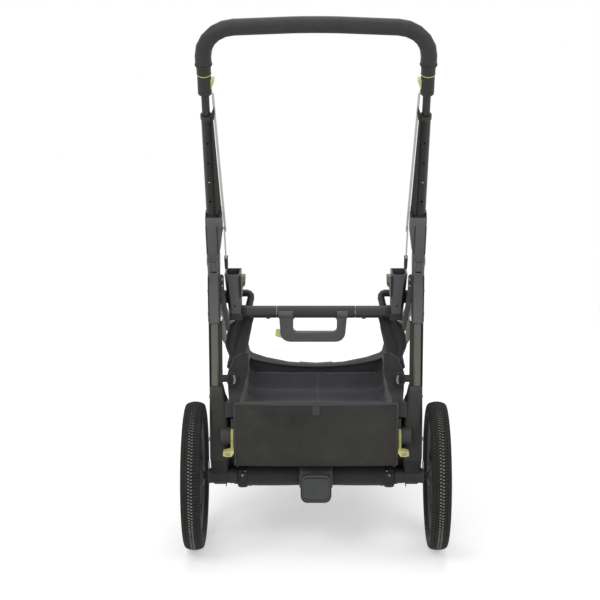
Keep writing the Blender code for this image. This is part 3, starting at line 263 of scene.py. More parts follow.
# Towards the bottom the housing turns warmer, greenish brown: painted reflection.
HOUSING_PLASTIC = plastic("housing_skin", (0.082, 0.084, 0.088), (0.1, 0.102, 0.106), 0.46,
                          ((0.088, 0.087, 0.078), 0.47, 0.6))
CHEEK_PLASTIC = plastic("cheek_skin", (0.088, 0.096, 0.09), (0.1, 0.108, 0.101))
BRACKET_PLASTIC = plastic("bracket_skin", (0.036, 0.036, 0.034), (0.05, 0.05, 0.046))
PEDAL_PLASTIC = plastic("pedal_skin", (0.044, 0.047, 0.047), (0.054, 0.058, 0.057))
GRIP_COVER = leather("grip_cover_grain", (0.022, 0.021, 0.02), (0.034, 0.033, 0.031))
TYRE_RUBBER = rubber("tyre_rubber_skin", (0.01, 0.01, 0.0095), (0.03, 0.029, 0.027))
# Pale marks in the tread's notches, brighter on the middle rib: painted highlight.
TREAD_HIGHLIGHT = rubber("tread_painted_highlight", (0.17, 0.17, 0.155), (0.3, 0.295, 0.27))
TREAD_EDGE_HIGHLIGHT = rubber("tread_edge_painted_highlight", (0.026, 0.026, 0.024), (0.055, 0.053, 0.047))
# A lighter copy of the basket weave for the front wall: painted light.
PAINTED_LIGHT_WALL_CLOTH = woven("basket_front_wall_painted_light_weave", (0.038, 0.038, 0.044), (0.054, 0.054, 0.062))
# A darker copy of the basket weave for the side walls and side rims: painted shade.
SHADED_SIDE_CLOTH = woven("basket_side_painted_shade_weave", (0.011, 0.011, 0.013), (0.018, 0.018, 0.021))
BASKET_CLOTH = woven("basket_weave", (0.021, 0.021, 0.026), (0.032, 0.032, 0.038))
SLEEVE_CLOTH = woven("sleeve_weave", (0.019, 0.018, 0.021), (0.029, 0.028, 0.032), 0.0006)
# The rear panel's wide, slow tone stands in for the shade of its folds: painted shade.
PANEL_CLOTH = woven("panel_weave", (0.022, 0.021, 0.017), (0.046, 0.044, 0.037), 0.0006, 8.0)
PIPING_CLOTH = woven("piping_weave", (0.05, 0.05, 0.054), (0.075, 0.075, 0.08), 0.0005)
THREAD = woven("sewing_thread", (0.07, 0.07, 0.072), (0.11, 0.11, 0.11), 0.0003)

# The finishes of each material slot; a CAD node in the slot has the first
SLOT_FINISHES = {
    "black_tube": (BLACK_TUBE,),
    "olive_tube": (PAINTED_REFLECTION_TUBE_COAT,),
    "pale_metal": (PALE_METAL,),
    "steel": (STEEL,),
    "grey_plastic": (GREY_PLASTIC, OLIVE_PLASTIC, PEDAL_PLASTIC),
    "black_plastic": (BLACK_PLASTIC, DARK_PLASTIC, BRACKET_PLASTIC, CHEEK_PLASTIC),
    "green_plastic": (GREEN_PLASTIC,),
    "grip_cover": (GRIP_COVER,),
    "tyre_rubber": (TYRE_RUBBER,),
    "basket_cloth": (BASKET_CLOTH, SHADED_SIDE_CLOTH, SLEEVE_CLOTH, PANEL_CLOTH, PIPING_CLOTH, THREAD),
}
USUAL_SLOT = {finish.name: slot for slot, finishes in SLOT_FINISHES.items() for finish in finishes}
# Asks for the usual slot of a finish, where None asks for no slot
USUAL = "usual"


# Mesh building

def new_object(name, data):
    thing = bpy.data.objects.new(name, data)
    bpy.context.scene.collection.objects.link(thing)
    return thing


def object_of(name, work, finish, smooth=True):
    """Turn a bmesh into an object with one material."""
    mesh = bpy.data.meshes.new(name)
    work.to_mesh(mesh)
    work.free()
    for face in mesh.polygons:
        face.use_smooth = smooth
    mesh.materials.append(finish)
    return new_object(name, mesh)


def finish_mesh(name, work, finish, body="chassis", slot=USUAL):
    """Turn a bmesh into a piece that rides on a body, and look up the usual slot of its finish."""
    bmesh.ops.recalc_face_normals(work, faces=work.faces)
    thing = object_of(name, work, finish)
    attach(thing, body)
    if slot == USUAL:
        slot = USUAL_SLOT[finish.name]
    return thing


def thicken(thing, **settings):
    made = thing.modifiers.new("Solidify", "SOLIDIFY")
    for key, value in settings.items():
        setattr(made, key, value)


def sharp_by_angle(thing, angle=38):
    """Mark the edges that are sharper than an angle as sharp."""
    work = bmesh.new()
    work.from_mesh(thing.data)
    limit = math.radians(angle)
    for edge in work.edges:
        if len(edge.link_faces) == 2 and edge.calc_face_angle(0) > limit:
            edge.smooth = False
    work.to_mesh(thing.data)
    work.free()
    return thing


def turns(count):
    """Return evenly spaced angles of one full turn."""
    return [2 * math.pi * step / count for step in range(count)]


def trace(place, count, low=0.0, high=1.0, shift=(0, 0, 0)):
    """Return points of the line that place gives for the shares from low to high."""
    return [place(low + (high - low) * step / count) + Vector(shift) for step in range(count + 1)]


def bridge(work, rings, closed=False, capped=False, around=True):
    """Join rings of vertices by quads, and return the quads."""
    pairs = list(zip(rings, rings[1:]))
    if closed:
        pairs.append((rings[-1], rings[0]))
    faces = []
    for low, high in pairs:
        for step in range(len(low) if around else len(low) - 1):
            after = (step + 1) % len(low)
            faces.append(work.faces.new((low[step], low[after], high[after], high[step])))
    if capped:
        work.faces.new(list(reversed(rings[0])))
        work.faces.new(rings[-1])
    return faces


def frames_along(points):
    """Return a steady side and up direction at each point of a path."""
    tangents = []
    for index in range(len(points)):
        before = points[max(index - 1, 0)]
        after = points[min(index + 1, len(points) - 1)]
        tangents.append((after - before).normalized())
    start = Vector((0, 0, 1)) if abs(tangents[0].z) < 0.9 else Vector((0, 1, 0))
    side = tangents[0].cross(start).normalized()
    frames = []
    for index, tangent in enumerate(tangents):
        if index:
            side = tangents[index - 1].rotation_difference(tangent) @ side
        side = (side - tangent * side.dot(tangent)).normalized()
        frames.append((side, tangent.cross(side).normalized()))
    return frames


def sweep(work, points, radius, sides=16, closed=False, flat=1.0):
    """Sweep a ring of vertices along a path."""
    points = [Vector(point) for point in points]
    rings = [[work.verts.new(point + side * math.cos(angle) * radius
                             + up * math.sin(angle) * radius * flat) for angle in turns(sides)]
             for point, (side, up) in zip(points, frames_along(points))]
    bridge(work, rings, closed, capped=not closed)


def tube(name, points, radius, finish, sides, body="chassis", slot=USUAL, flat=1.0):
    work = bmesh.new()
    sweep(work, points, radius, sides, flat=flat)
    return sharp_by_angle(finish_mesh(name, work, finish, body, slot), 50)


def lathe(name, profile, start, direction, finish, body="chassis", slot=USUAL, steps=48, angle=38):
    """Turn a (radius, height) outline about a line; one that starts on the line stays open."""
    work = bmesh.new()
    turned = Vector(direction).to_track_quat("Z", "Y")
    rings = [[work.verts.new(start + turned @ Vector((radius * math.cos(spin),
                                                      radius * math.sin(spin), height)))
              for radius, height in profile] for spin in turns(steps)]
    bridge(work, rings, closed=True, around=profile[0][0] > 0)
    bmesh.ops.remove_doubles(work, verts=work.verts, dist=0.0000005)
    return sharp_by_angle(finish_mesh(name, work, finish, body, slot), angle)


def loft(name, loops, finish, body="chassis", angle=40):
    """Join closed loops of points into one capped solid."""
    work = bmesh.new()
    bridge(work, [[work.verts.new(point) for point in loop] for loop in loops], capped=True)
    return sharp_by_angle(finish_mesh(name, work, finish, body), angle)


def arc(centre, radius, start, end, count):
    """Return points along a circle, with angles in degrees from the first axis."""
    points = []
    for index in range(count):
        angle = math.radians(start + (end - start) * index / (count - 1))
        points.append((centre[0] + radius * math.cos(angle),
                       centre[1] + radius * math.sin(angle)))
    return points


def rounded_box(low, high, radius, count=6):
    (left, bottom), (right, top) = low, high
    points = []
    for x, y, start in ((right - radius, top - radius, 0), (left + radius, top - radius, 90),
                        (left + radius, bottom + radius, 180),
                        (right - radius, bottom + radius, 270)):
        points += arc((x, y), radius, start, start + 90, count)
    return points


def slab(name, outline, to_world, low, high, finish, bevel=0.0, body="chassis", segments=2):
    """Extrude an outline between two depths; to_world places (a, b, depth)."""
    work = bmesh.new()
    bottom = [work.verts.new(to_world(a, b, low)) for a, b in outline]
    top = [work.verts.new(to_world(a, b, high)) for a, b in outline]
    count = len(outline)
    work.faces.new(bottom)
    work.faces.new(list(reversed(top)))
    for index in range(count):
        after = (index + 1) % count
        work.faces.new((bottom[index], top[index], top[after], bottom[after]))
    if bevel:
        edges = [edge for edge in work.edges
                 if len(edge.link_faces) == 2 and edge.calc_face_angle(0) > 0.9]
        bmesh.ops.bevel(work, geom=edges, offset=bevel, segments=segments, profile=0.5,
                        affect="EDGES", clamp_overlap=True)
    return sharp_by_angle(finish_mesh(name, work, finish, body), 30)


def border(name, outer, inner, to_world, low, high, finish, body, slot=USUAL):
    """Make a raised frame between two outlines with as many points each."""
    work = bmesh.new()
    rings = [[work.verts.new(to_world(a, b, depth)) for a, b in outline]
             for outline, depth in ((outer, low), (outer, high), (inner, high), (inner, low))]
    bridge(work, rings, closed=True)
    return sharp_by_angle(finish_mesh(name, work, finish, body, slot), 30)


# The outline of a screw head and its socket, in shares of its radius
SCREW_HEAD = ((0.42, -0.1), (0.42, 0.42), (0.52, 0.5), (0.8, 0.44), (1.0, 0.2), (1.0, -0.3))


def screws(name, heads, finish):
    """Make screw heads with a socket, each given as (place, direction, radius)."""
    work = bmesh.new()
    for place, out, radius in heads:
        turned = Vector(out).to_track_quat("Z", "Y")
        rings = [[work.verts.new(place + turned @ Vector((radius * reach * math.cos(angle),
                                                          radius * reach * math.sin(angle),
                                                          radius * height)))
                  for angle in turns(18)] for reach, height in SCREW_HEAD]
        bridge(work, rings, capped=True)
    return sharp_by_angle(finish_mesh(name, work, finish), 40)


# Places: each of the four below takes a side's sign and returns a function of three numbers

def on_side(sign):
    """Place (x, distance up the handle, distance ahead) on one side."""
    return lambda a, b, depth: side_point(sign, a, on_handle(b, depth))


def on_mouth(sign):
    """Place (x, distance ahead, distance up the handle) on one side."""
    return lambda a, b, depth: side_point(sign, a, on_handle(depth, b))


def across(sign):
    """Place (x, z, y) on one side."""
    return lambda a, b, depth: Vector((sign * a, depth, b))


def along(sign):
    """Place (y, z, x) on one side."""
    return lambda a, b, depth: Vector((sign * depth, a, b))


def on_handle(up, ahead=0.0):
    return FOLD_PIVOT + HANDLE_UP * up + HANDLE_AHEAD * ahead


def side_point(sign, x, place):
    return Vector((sign * x, place.y, place.z))


def body_on(side, body):
    """Return a body's full name, where some have one for each side."""
    return body if body in BODIES else f"{body}_{side}"


# Finish of the CAD pieces

def finish_of(name):
    if name == "fold_handle":
        return HANDLE_PLASTIC
    if "front_leg" in name:
        return BLACK_TUBE
    if "_housing_" in name and "caster" not in name:
        return HOUSING_PLASTIC
    return SLOT_FINISHES[SLOT_OF[name]][0]


def dress_nodes():
    """Give each CAD node the finish of its material slot."""
    for name, thing in NODES.items():
        finish = finish_of(name)
        if thing.material_slots:
            for place in thing.material_slots:
                place.material = finish
        else:
            thing.data.materials.append(finish)


def smoothed_copy(name):
    """Replace a node by a copy of its mesh that is shaded smooth."""
    work = bmesh.new()
    work.from_mesh(NODES[name].data)
    bmesh.ops.remove_doubles(work, verts=work.verts, dist=0.000002)
    bmesh.ops.dissolve_limit(work, angle_limit=math.radians(0.6), verts=work.verts,
                             edges=work.edges)
    piece = finish_mesh(name + "_skin", work, finish_of(name), BODY_OF[name], SLOT_OF[name])
    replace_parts(sharp_by_angle(piece), name)


# Stage

WHITE = (1, 1, 1, 1)
FLOOR_REACH = 30.0
# Name, place, size and power of each lamp, which all look at the middle of the stroller
LAMPS = (("key_soft", (-1.6, -2.2, 2.9), 1.8, 34.0), ("fill_soft", (2.3, -1.6, 1.9), 1.6, 16.0),
         ("top_soft", (0.0, 0.6, 3.2), 2.4, 30.0))
LAMPS_LOOK_AT = Vector((0, 0, 0.45))


def seen_directly(nodes):
    """Return 1 for rays from the camera or off a glossy surface, and else 0."""
    rays = nodes.add("LightPath").outputs
    return nodes.maths("MAXIMUM", rays["Is Camera Ray"], rays["Is Glossy Ray"])


def make_floor():
    """Make the pale floor, which turns white away from the object and keeps its shadow."""
    work = bmesh.new()
    work.faces.new([work.verts.new((x * FLOOR_REACH, y * FLOOR_REACH, 0))
                    for x, y in ((-1, -1), (1, -1), (1, 1), (-1, 1))])
    skin = Skin("floor_white")
    skin.feed(skin.shader, {"Base Color": (0.8, 0.8, 0.8, 1), "Roughness": 0.9,
                            "Specular IOR Level": 0.1})
    seen = seen_directly(skin)
    glow = skin.add("Emission", {"Color": WHITE, "Strength": skin.maths("MULTIPLY", seen, 0.42)})
    near = skin.add("AddShader", {0: skin.shader.outputs["BSDF"], 1: glow.outputs["Emission"]})
    away = skin.add("VectorMath", {0: skin.place}, operation="LENGTH").outputs["Value"]
    far = skin.add("Emission", {"Color": WHITE})
    blend = skin.add("MixShader", {"Fac": skin.maths("MULTIPLY", skin.mapped(away, 0.75, 1.9), seen),
                                   1: near.outputs["Shader"], 2: far.outputs["Emission"]})
    skin.feed(skin.tree.nodes["Material Output"], {"Surface": blend.outputs["Shader"]})
    object_of("floor", work, skin.material, smooth=False)


def make_stage():
    """Make the floor, the white surroundings, the soft lamps and the camera."""
    make_floor()
    scene = bpy.context.scene
    scene.world = bpy.data.worlds.new("studio")
    nodes = Nodes(scene.world)
    nodes.feed(nodes.tree.nodes["Background"],
               {"Color": WHITE, "Strength": nodes.mapped(seen_directly(nodes), 0, 1, 0.5, 1.0)})
    for name, place, size, power in LAMPS:
        lamp = bpy.data.lights.new(name, "AREA")
        lamp.shape = "SQUARE"
        lamp.size = size
        lamp.energy = power
        thing = new_object(name, lamp)
        thing.location = place
        thing.rotation_mode = "QUATERNION"
        thing.rotation_quaternion = (LAMPS_LOOK_AT - Vector(place)).to_track_quat("-Z", "Y")
    lens = bpy.data.cameras.new("photo_camera")
    lens.lens = 96.0
    lens.sensor_width = 36.0
    lens.shift_x = -16.0 / 600.0
    scene.camera = new_object("photo_camera", lens)
    scene.camera.location = (0.0, -3.382, 1.356)
    scene.camera.rotation_euler = (math.radians(75), 0, 0)
    scene.view_settings.view_transform = "Standard"


make_stage()
dress_nodes()

# Tyres and wheels

GROOVE_WIDTH = 0.0013
GROOVE_DEPTH = 0.0016
NOTCH_DEPTH = 0.0011
# Steps round the tyre from notch to notch, and by which one slants in each metre across
NOTCH_EVERY = 3
NOTCH_SLANT = 28.0
RIB_ROUND = 0.00035
SEAT_GAP = 0.0003
# The side of a tyre, in shares of its depth and of half its width
TYRE_SIDE = ((0.0, 0.64), (0.1, 0.8), (0.28, 0.955), (0.48, 1.0), (0.66, 0.985), (0.7, 0.955),
             (0.76, 0.955), (0.84, 0.9))
# The section of a spoke, in shares of its half width and of its half thickness
SPOKE_SECTION = ((1, 0.55), (0.72, 0.95), (0.4, 0.62), (-0.4, 0.62), (-0.72, 0.95), (-1, 0.55),
                 (-1, -0.55), (-0.72, -0.95), (-0.4, -0.62), (0.4, -0.62), (0.72, -0.95),
                 (1, -0.55))
HUB_CAP_RADIUS = 0.0125
# A shallow dome with a ring groove and a dimple: share of the radius, height
HUB_CAP = ((0.0, 0.0022), (0.22, 0.0021), (0.3, 0.003), (0.62, 0.0029), (0.68, 0.0024),
           (0.74, 0.0028), (0.92, 0.002), (1.0, 0.0008), (1.0, 0.0), (0.0, 0.0))


def tyre_profile(size, ribs):
    """Return (radius, height, depth of the notches as a share, rib) round a tyre's section."""
    radius, depth, width = size
    half = width / 2
    crown = half * 0.8
    drop = radius * 0.024
    rib = (2 * crown - (ribs - 1) * GROOVE_WIDTH) / ribs
    side = [(radius - depth + depth * rise, half * wide) for rise, wide in TYRE_SIDE]
    profile = [(reach, height, 0, 0) for reach, height in side]

    def add(height, sunk, tread, index):
        profile.append((radius - drop * (height / crown) ** 2 - sunk, height, tread, index))

    for index in range(ribs):
        top = crown - index * (rib + GROOVE_WIDTH)
        for share in (0.0, 0.18, 0.82, 1.0):
            at_edge = share in (0.0, 1.0)
            add(top - rib * share, RIB_ROUND if at_edge else 0.0, 0.5 if at_edge else 1, index)
        if index < ribs - 1:
            for share in (0.25, 0.75):
                add(top - rib - GROOVE_WIDTH * share, GROOVE_DEPTH, 0, index)
    return profile + [(reach, -height, 0, 0) for reach, height in reversed(side)]


def tyre(name, place, size, ribs, steps, body):
    """Make a tyre whose ribs are cut into small slanting blocks."""
    profile = tyre_profile(size, ribs)
    count = len(profile)
    work = bmesh.new()
    rings = []
    notched = set()
    for step, spin in enumerate(turns(steps)):
        ring = []
        for point, (reach, height, tread, index) in enumerate(profile):
            odd = index % 2
            if tread and (step + (NOTCH_EVERY / 2 if odd else 0)) % NOTCH_EVERY < 1:
                notched.add((step, point))
                reach = reach - NOTCH_DEPTH * tread
            slant = (NOTCH_SLANT if odd else -NOTCH_SLANT) * 2 * math.pi / steps
            turned = spin + (slant * height if tread else 0)
            ring.append(work.verts.new((place.x + height, place.y + reach * math.cos(turned),
                                        place.z + reach * math.sin(turned))))
        rings.append(ring)
    for number, face in enumerate(bridge(work, rings, closed=True)):
        step, index = divmod(number, count)
        if (step, index) in notched and (step, (index + 1) % count) in notched:
            # Notch faces take the pale marks, brightest on the middle rib: painted highlight.
            middle_rib = abs(profile[index][3] - (ribs - 1) / 2) < 1
            face.material_index = 1 if middle_rib else 2
    piece = finish_mesh(name + "_tread", work, TYRE_RUBBER, body)
    piece.data.materials.append(TREAD_HIGHLIGHT)
    piece.data.materials.append(TREAD_EDGE_HIGHLIGHT)
    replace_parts(sharp_by_angle(piece, 34), name)


def wheel(name, place, size, bore, spokes, spoke_half, steps, body):
    """Make a channelled rim, waisted spokes and a bored hub as one piece."""
    radius, depth, width = size
    half = width / 2
    seat = radius - depth - SEAT_GAP
    inner = seat - 0.013
    lip = half * 0.62
    hub = radius * 0.14
    end = half * 0.95
    rim = ((inner + 0.0006, half * 0.3), (inner, half * 0.36), (inner + 0.0008, half * 0.42),
           (inner + 0.0045, half * 0.46), (seat - 0.005, lip - 0.0018), (seat - 0.0022, lip),
           (seat - 0.0004, lip), (seat, lip - 0.0008))
    barrel = ((bore, end - 0.001), (bore + 0.001, end), (hub * 0.62, end),
              (hub * 0.66, end - 0.0012), (hub * 0.86, end - 0.0016), (hub * 0.93, end - 0.003),
              (hub * 0.97, end * 0.55), (hub, end * 0.45))
    work = bmesh.new()
    for half_profile in (rim, barrel):
        profile = list(half_profile) + [(reach, -height) for reach, height in reversed(half_profile)]
        bridge(work, [[work.verts.new((place.x + height, place.y + reach * math.cos(spin),
                                       place.z + reach * math.sin(spin)))
                       for reach, height in profile] for spin in turns(steps)], closed=True)
    # Distance from the axle, width and thickness along a spoke
    stations = ((hub * 0.9, 1.35, 1.0), (hub * 1.25, 1.0, 0.92), (inner * 0.45, 0.72, 0.72),
                (inner * 0.72, 0.7, 0.66), (inner * 0.92, 0.95, 0.78), (inner + 0.003, 1.5, 0.9))
    thick = half * 0.42
    for index in range(spokes):
        turned = 2 * math.pi * (index + 0.5) / spokes + math.pi / spokes
        out = Vector((0, math.cos(turned), math.sin(turned)))
        over = Vector((0, -math.sin(turned), math.cos(turned)))
        bridge(work, [[work.verts.new(place + out * reach + over * side * spoke_half * wide
                                      + ALONG_X * deep * thick * thin)
                       for side, deep in SPOKE_SECTION] for reach, wide, thin in stations],
               capped=True)
    piece = finish_mesh(name + "_spoked", work, DARK_PLASTIC, body, "grey_plastic")
    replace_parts(sharp_by_angle(piece, 30), name)


# Name, x, axle and sizes; the tyre's ribs and steps; the wheel's bore, spokes, half a spoke's
# width and steps
WHEELS = (("rear", REAR_WHEEL_X, REAR_AXLE, REAR_WHEEL, 6, 420, 0.0083, 6, 0.007, 120),
          ("front", FRONT_WHEEL_X, FRONT_AXLE, FRONT_WHEEL, 5, 264, 0.0044, 5, 0.005, 96))

for side, sign in SIDES:
    for label, x, axle, size, ribs, tyre_steps, bore, spokes, spoke_half, rim_steps in WHEELS:
        place = side_point(sign, x, axle)
        body = f"{label}_wheel_{side}"
        tyre(f"{label}_{side}_tyre", place, size, ribs, tyre_steps, body)
        wheel(f"{label}_{side}_wheel", place, size, bore, spokes, spoke_half, rim_steps, body)
    rear = side_point(sign, REAR_WHEEL_X, REAR_AXLE)
    lathe(f"rear_{side}_hub_cap", [(HUB_CAP_RADIUS * reach, height) for reach, height in HUB_CAP],
          rear + ALONG_X * sign * 0.019, ALONG_X * sign, BLACK_PLASTIC, f"rear_wheel_{side}", None)


# Cloth

CLOTH_THICKNESS = 0.0014
STITCH_RADIUS = 0.00045
STITCH_PITCH = 0.0042
STITCH_LENGTH = 0.0027


def seams(name, lines):
    """Make a row of stitches along each line of points, as one piece."""
    work = bmesh.new()
    for line in lines:
        travelled = 0.0
        want = STITCH_PITCH / 2
        for start, end in zip(line, line[1:]):
            span = (end - start).length
            if span < 0.00001:
                continue
            ahead = (end - start) / span
            while want <= travelled + span:
                middle = start + ahead * (want - travelled)
                side = ahead.cross(Vector((0.3, 0.5, 0.8))).normalized()
                up = ahead.cross(side).normalized()
                tips = [work.verts.new(middle - ahead * STITCH_LENGTH / 2),
                        work.verts.new(middle + ahead * STITCH_LENGTH / 2)]
                ring = [work.verts.new(middle + side * x * STITCH_RADIUS + up * y * STITCH_RADIUS)
                        for x, y in ((1, 0), (0, 1), (-1, 0), (0, -1))]
                for step in range(4):
                    after = ring[(step + 1) % 4]
                    work.faces.new((tips[0], after, ring[step]))
                    work.faces.new((tips[1], ring[step], after))
                want += STITCH_PITCH
            travelled += span
    return finish_mesh(name, work, THREAD)


def ridge(x, z, start, end, width, height):
    """Return the height of one soft fold that runs from start to end."""
    ax, az = start
    bx, bz = end
    dx, dz = bx - ax, bz - az
    share = max(0.0, min(1.0, ((x - ax) * dx + (z - az) * dz) / (dx * dx + dz * dz)))
    away = math.hypot(x - ax - dx * share, z - az - dz * share)
    fade = math.sin(math.pi * (0.12 + 0.76 * share))
    return height * fade * math.exp(-(away / width) ** 2)


def grid_of(place, columns, rows):
    return [[place(column / (columns - 1), row / (rows - 1)) for column in range(columns)]
            for row in range(rows)]


def cloth_grid(name, columns, rows, place, finish, thickness=CLOTH_THICKNESS):
    """Make a sheet from a grid of points, with a real thickness."""
    work = bmesh.new()
    bridge(work, [[work.verts.new(point) for point in row] for row in grid_of(place, columns, rows)],
           around=False)
    thing = finish_mesh(name, work, finish)
    thicken(thing, thickness=thickness, offset=0.0)
    return thing


def grid_area(place, columns, rows):
    """Return the area of a sheet that place describes."""
    points = grid_of(place, columns, rows)
    total = 0.0
    for low, high in zip(points, points[1:]):
        for index in range(columns - 1):
            total += ((low[index + 1] - low[index]).cross(high[index] - low[index]).length
                      + (high[index + 1] - high[index]).cross(
                          high[index + 1] - low[index + 1]).length) / 2
    return total


def between(table, value):
    """Read a table of (value, result) rows with a smooth step between rows."""
    if value <= table[0][0]:
        return table[0][1]
    for (low, first), (high, second) in zip(table, table[1:]):
        if value <= high:
            share = (value - low) / (high - low)
            share = share * share * (3 - 2 * share)
            return first + (second - first) * share
    return table[-1][1]


# The rear panel of the basket

PANEL_BACK = -0.3215
PANEL_HALF = 0.1655
PANEL_LOW = 0.1885
PANEL_TOP = 0.319
PANEL_HEIGHT = PANEL_TOP - PANEL_LOW
TAG_HALF = 0.0075
TAG_HEIGHT = 0.0215
FOLD_GAIN = 1.9
# Start and end of each fold as (x, z), its width and its height
PANEL_FOLDS = (((-0.15, 0.3), (0.000, 0.205), 0.016, 0.0042),
               ((-0.155, 0.262), (-0.075, 0.196), 0.013, 0.003),
               ((0.158, 0.298), (0.095, 0.205), 0.013, 0.0044),
               ((0.075, 0.3), (0.13, 0.23), 0.015, -0.0024),
               ((-0.06, 0.296), (0.06, 0.246), 0.02, -0.0022),
               ((0.02, 0.2), (0.12, 0.212), 0.012, 0.0022))
ON_PANEL = (0, -0.001, 0)


def panel_place(u, v):
    """Return a point of the rear panel: u runs left to right and v upwards.

    A swell, the folds and fine wrinkles push it backwards, and it sags between its corners.
    """
    x = (2 * u - 1) * PANEL_HALF
    z = PANEL_LOW + PANEL_HEIGHT * v
    inside = math.sin(math.pi * u) ** 0.5 * math.sin(math.pi * min(1.0, v * 0.96 + 0.04)) ** 0.6
    push = 0.0026 * inside + FOLD_GAIN * sum(ridge(x, z, *fold) for fold in PANEL_FOLDS)
    push += 0.0007 * noise.noise(Vector((x * 34, z * 34, 3.1))) * inside
    sag = -0.0018 * math.sin(math.pi * u) * v + 0.001 * noise.noise(Vector((x * 18, 0.0, 7.7)))
    return Vector((x, PANEL_BACK - push, z + sag * (1 if v > 0.5 else 0.6)))


def tag_place(u, v):
    """Return a point of the bare tag that is sewn to the panel's hem."""
    x = -TAG_HALF + 2 * TAG_HALF * u
    z = PANEL_TOP - 0.0005 - TAG_HEIGHT * (1 - v)
    base = panel_place(0.5 + x / (2 * PANEL_HALF), (z - PANEL_LOW) / PANEL_HEIGHT)
    return base + Vector((0, -0.0012 - 0.0006 * math.sin(math.pi * v), 0))


panel = cloth_grid("rear_panel_cloth", 132, 56, panel_place, PANEL_CLOTH)
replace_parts(panel, "basket_rear_panel")
sewn_on = [tube("rear_panel_hem", trace(lambda u: panel_place(u, 1.0), 60, shift=(0, -0.0002, 0.0002)),
                0.0026, PIPING_CLOTH, 12),
           tube("rear_panel_lower_hem", trace(lambda u: panel_place(u, 0.0), 60, shift=(0, -0.0002, 0)),
                0.0016, PANEL_CLOTH, 10)]
for side, sign in SIDES:
    line = trace(lambda v, u=0.5 + sign * 0.4975: panel_place(u, v), 40, shift=(0, -0.0003, 0))
    sewn_on.append(tube(f"rear_panel_side_binding_{side}", line, 0.0019, PIPING_CLOTH, 10))
lines = [trace(lambda u, v=v: panel_place(u, v), 90, 0.02, 0.98, ON_PANEL)
         for v in (0.925, 0.9, 0.055)]
for side, sign in SIDES:
    lines += [trace(lambda v, u=0.5 + sign * out: panel_place(u, v), 50, 0.03, 0.97, ON_PANEL)
              for out in (0.468, 0.452)]
sewn_on.append(seams("rear_panel_stitches", lines))
sewn_on.append(cloth_grid("rear_panel_tag", 14, 18, tag_place, PIPING_CLOTH, 0.0009))

# The basket itself: a lofted shell that sags between its seams

BASKET_BACK = -0.026
BASKET_LENGTH = 0.504
BASKET_CORNER = 0.024
SHELL_ROWS = 97
WALL_STEPS = 28
FRONT_SAG = 0.023
# Heights of the rim and the floor and half the width, by the distance ahead of the axle
RIM = ((-0.026, 0.318), (0.03, 0.345), (0.09, 0.35), (0.18, 0.322), (0.29, 0.286),
       (0.38, 0.266), (0.43, 0.265), (0.478, 0.261))
FLOOR = ((-0.026, 0.187), (0.09, 0.185), (0.29, 0.185), (0.38, 0.187), (0.43, 0.198),
         (0.478, 0.224))
WIDE = ((-0.026, 0.164), (0.18, 0.1624), (0.38, 0.1591), (0.478, 0.1566))


def basket_place(u, v):
    """Return a point of the shell: u runs back to front and v over the section."""
    ahead = BASKET_BACK + BASKET_LENGTH * u
    rim = between(RIM, ahead)
    floor = between(FLOOR, ahead)
    wide = between(WIDE, ahead)
    rise = rim - floor
    corner = min(BASKET_CORNER, rise * 0.6)
    side = rise - corner
    turn_length = corner * math.pi / 2
    half_floor = wide - corner
    run = (1 - abs(2 * v - 1)) * (side + turn_length + half_floor)
    sign = -1 if v < 0.5 else 1
    deep = min(1.0, rise / 0.08)
    if run < side:
        depth = run / max(side, 0.001)
        bow = math.sin(math.pi * min(1.0, depth)) * 0.003
        z = rim - run
        bow += 0.0022 * noise.noise(Vector((ahead * 26, z * 16, sign * 3.0))) * min(1, depth * 3)
        x = wide - bow * deep
    elif run < side + turn_length:
        angle = (run - side) / corner
        x = wide - corner + corner * math.cos(angle)
        z = floor + corner - corner * math.sin(angle)
    else:
        x = half_floor - (run - side - turn_length)
        share = x / max(half_floor, 0.001)
        z = floor - 0.0016 * (1 - share * share) * deep
        z += 0.001 * noise.noise(Vector((sign * x * 18, ahead * 18, 1.0)))
    return Vector((sign * x, REAR_AXLE.y + ahead, z))


def fill_wall(work, loop, outwards):
    """Close one end of the shell with rows of cloth between its two sides."""
    count = len(loop)
    middle = (count - 1) // 2
    rows = []
    for index in range(middle):
        left, right = loop[index], loop[count - 1 - index]
        height = index / middle
        row = [left]
        for step in range(1, WALL_STEPS):
            share = step / WALL_STEPS
            place = left.co.lerp(right.co, share)
            swell = 0.0025 * math.sin(math.pi * share) * math.sin(math.pi * min(1, height + 0.02))
            place.y += outwards * swell
            if outwards > 0:
                place.z -= FRONT_SAG * math.sin(math.pi * share) ** 0.7 * (1 - height) ** 1.5
            row.append(work.verts.new(place))
        rows.append(row + [right])
    for low, high in zip(rows, rows[1:]):
        for step in range(WALL_STEPS):
            work.faces.new((low[step], high[step], high[step + 1], low[step + 1]))
    last = rows[-1]
    for step in range(WALL_STEPS):
        work.faces.new((last[step], loop[middle], last[step + 1]))


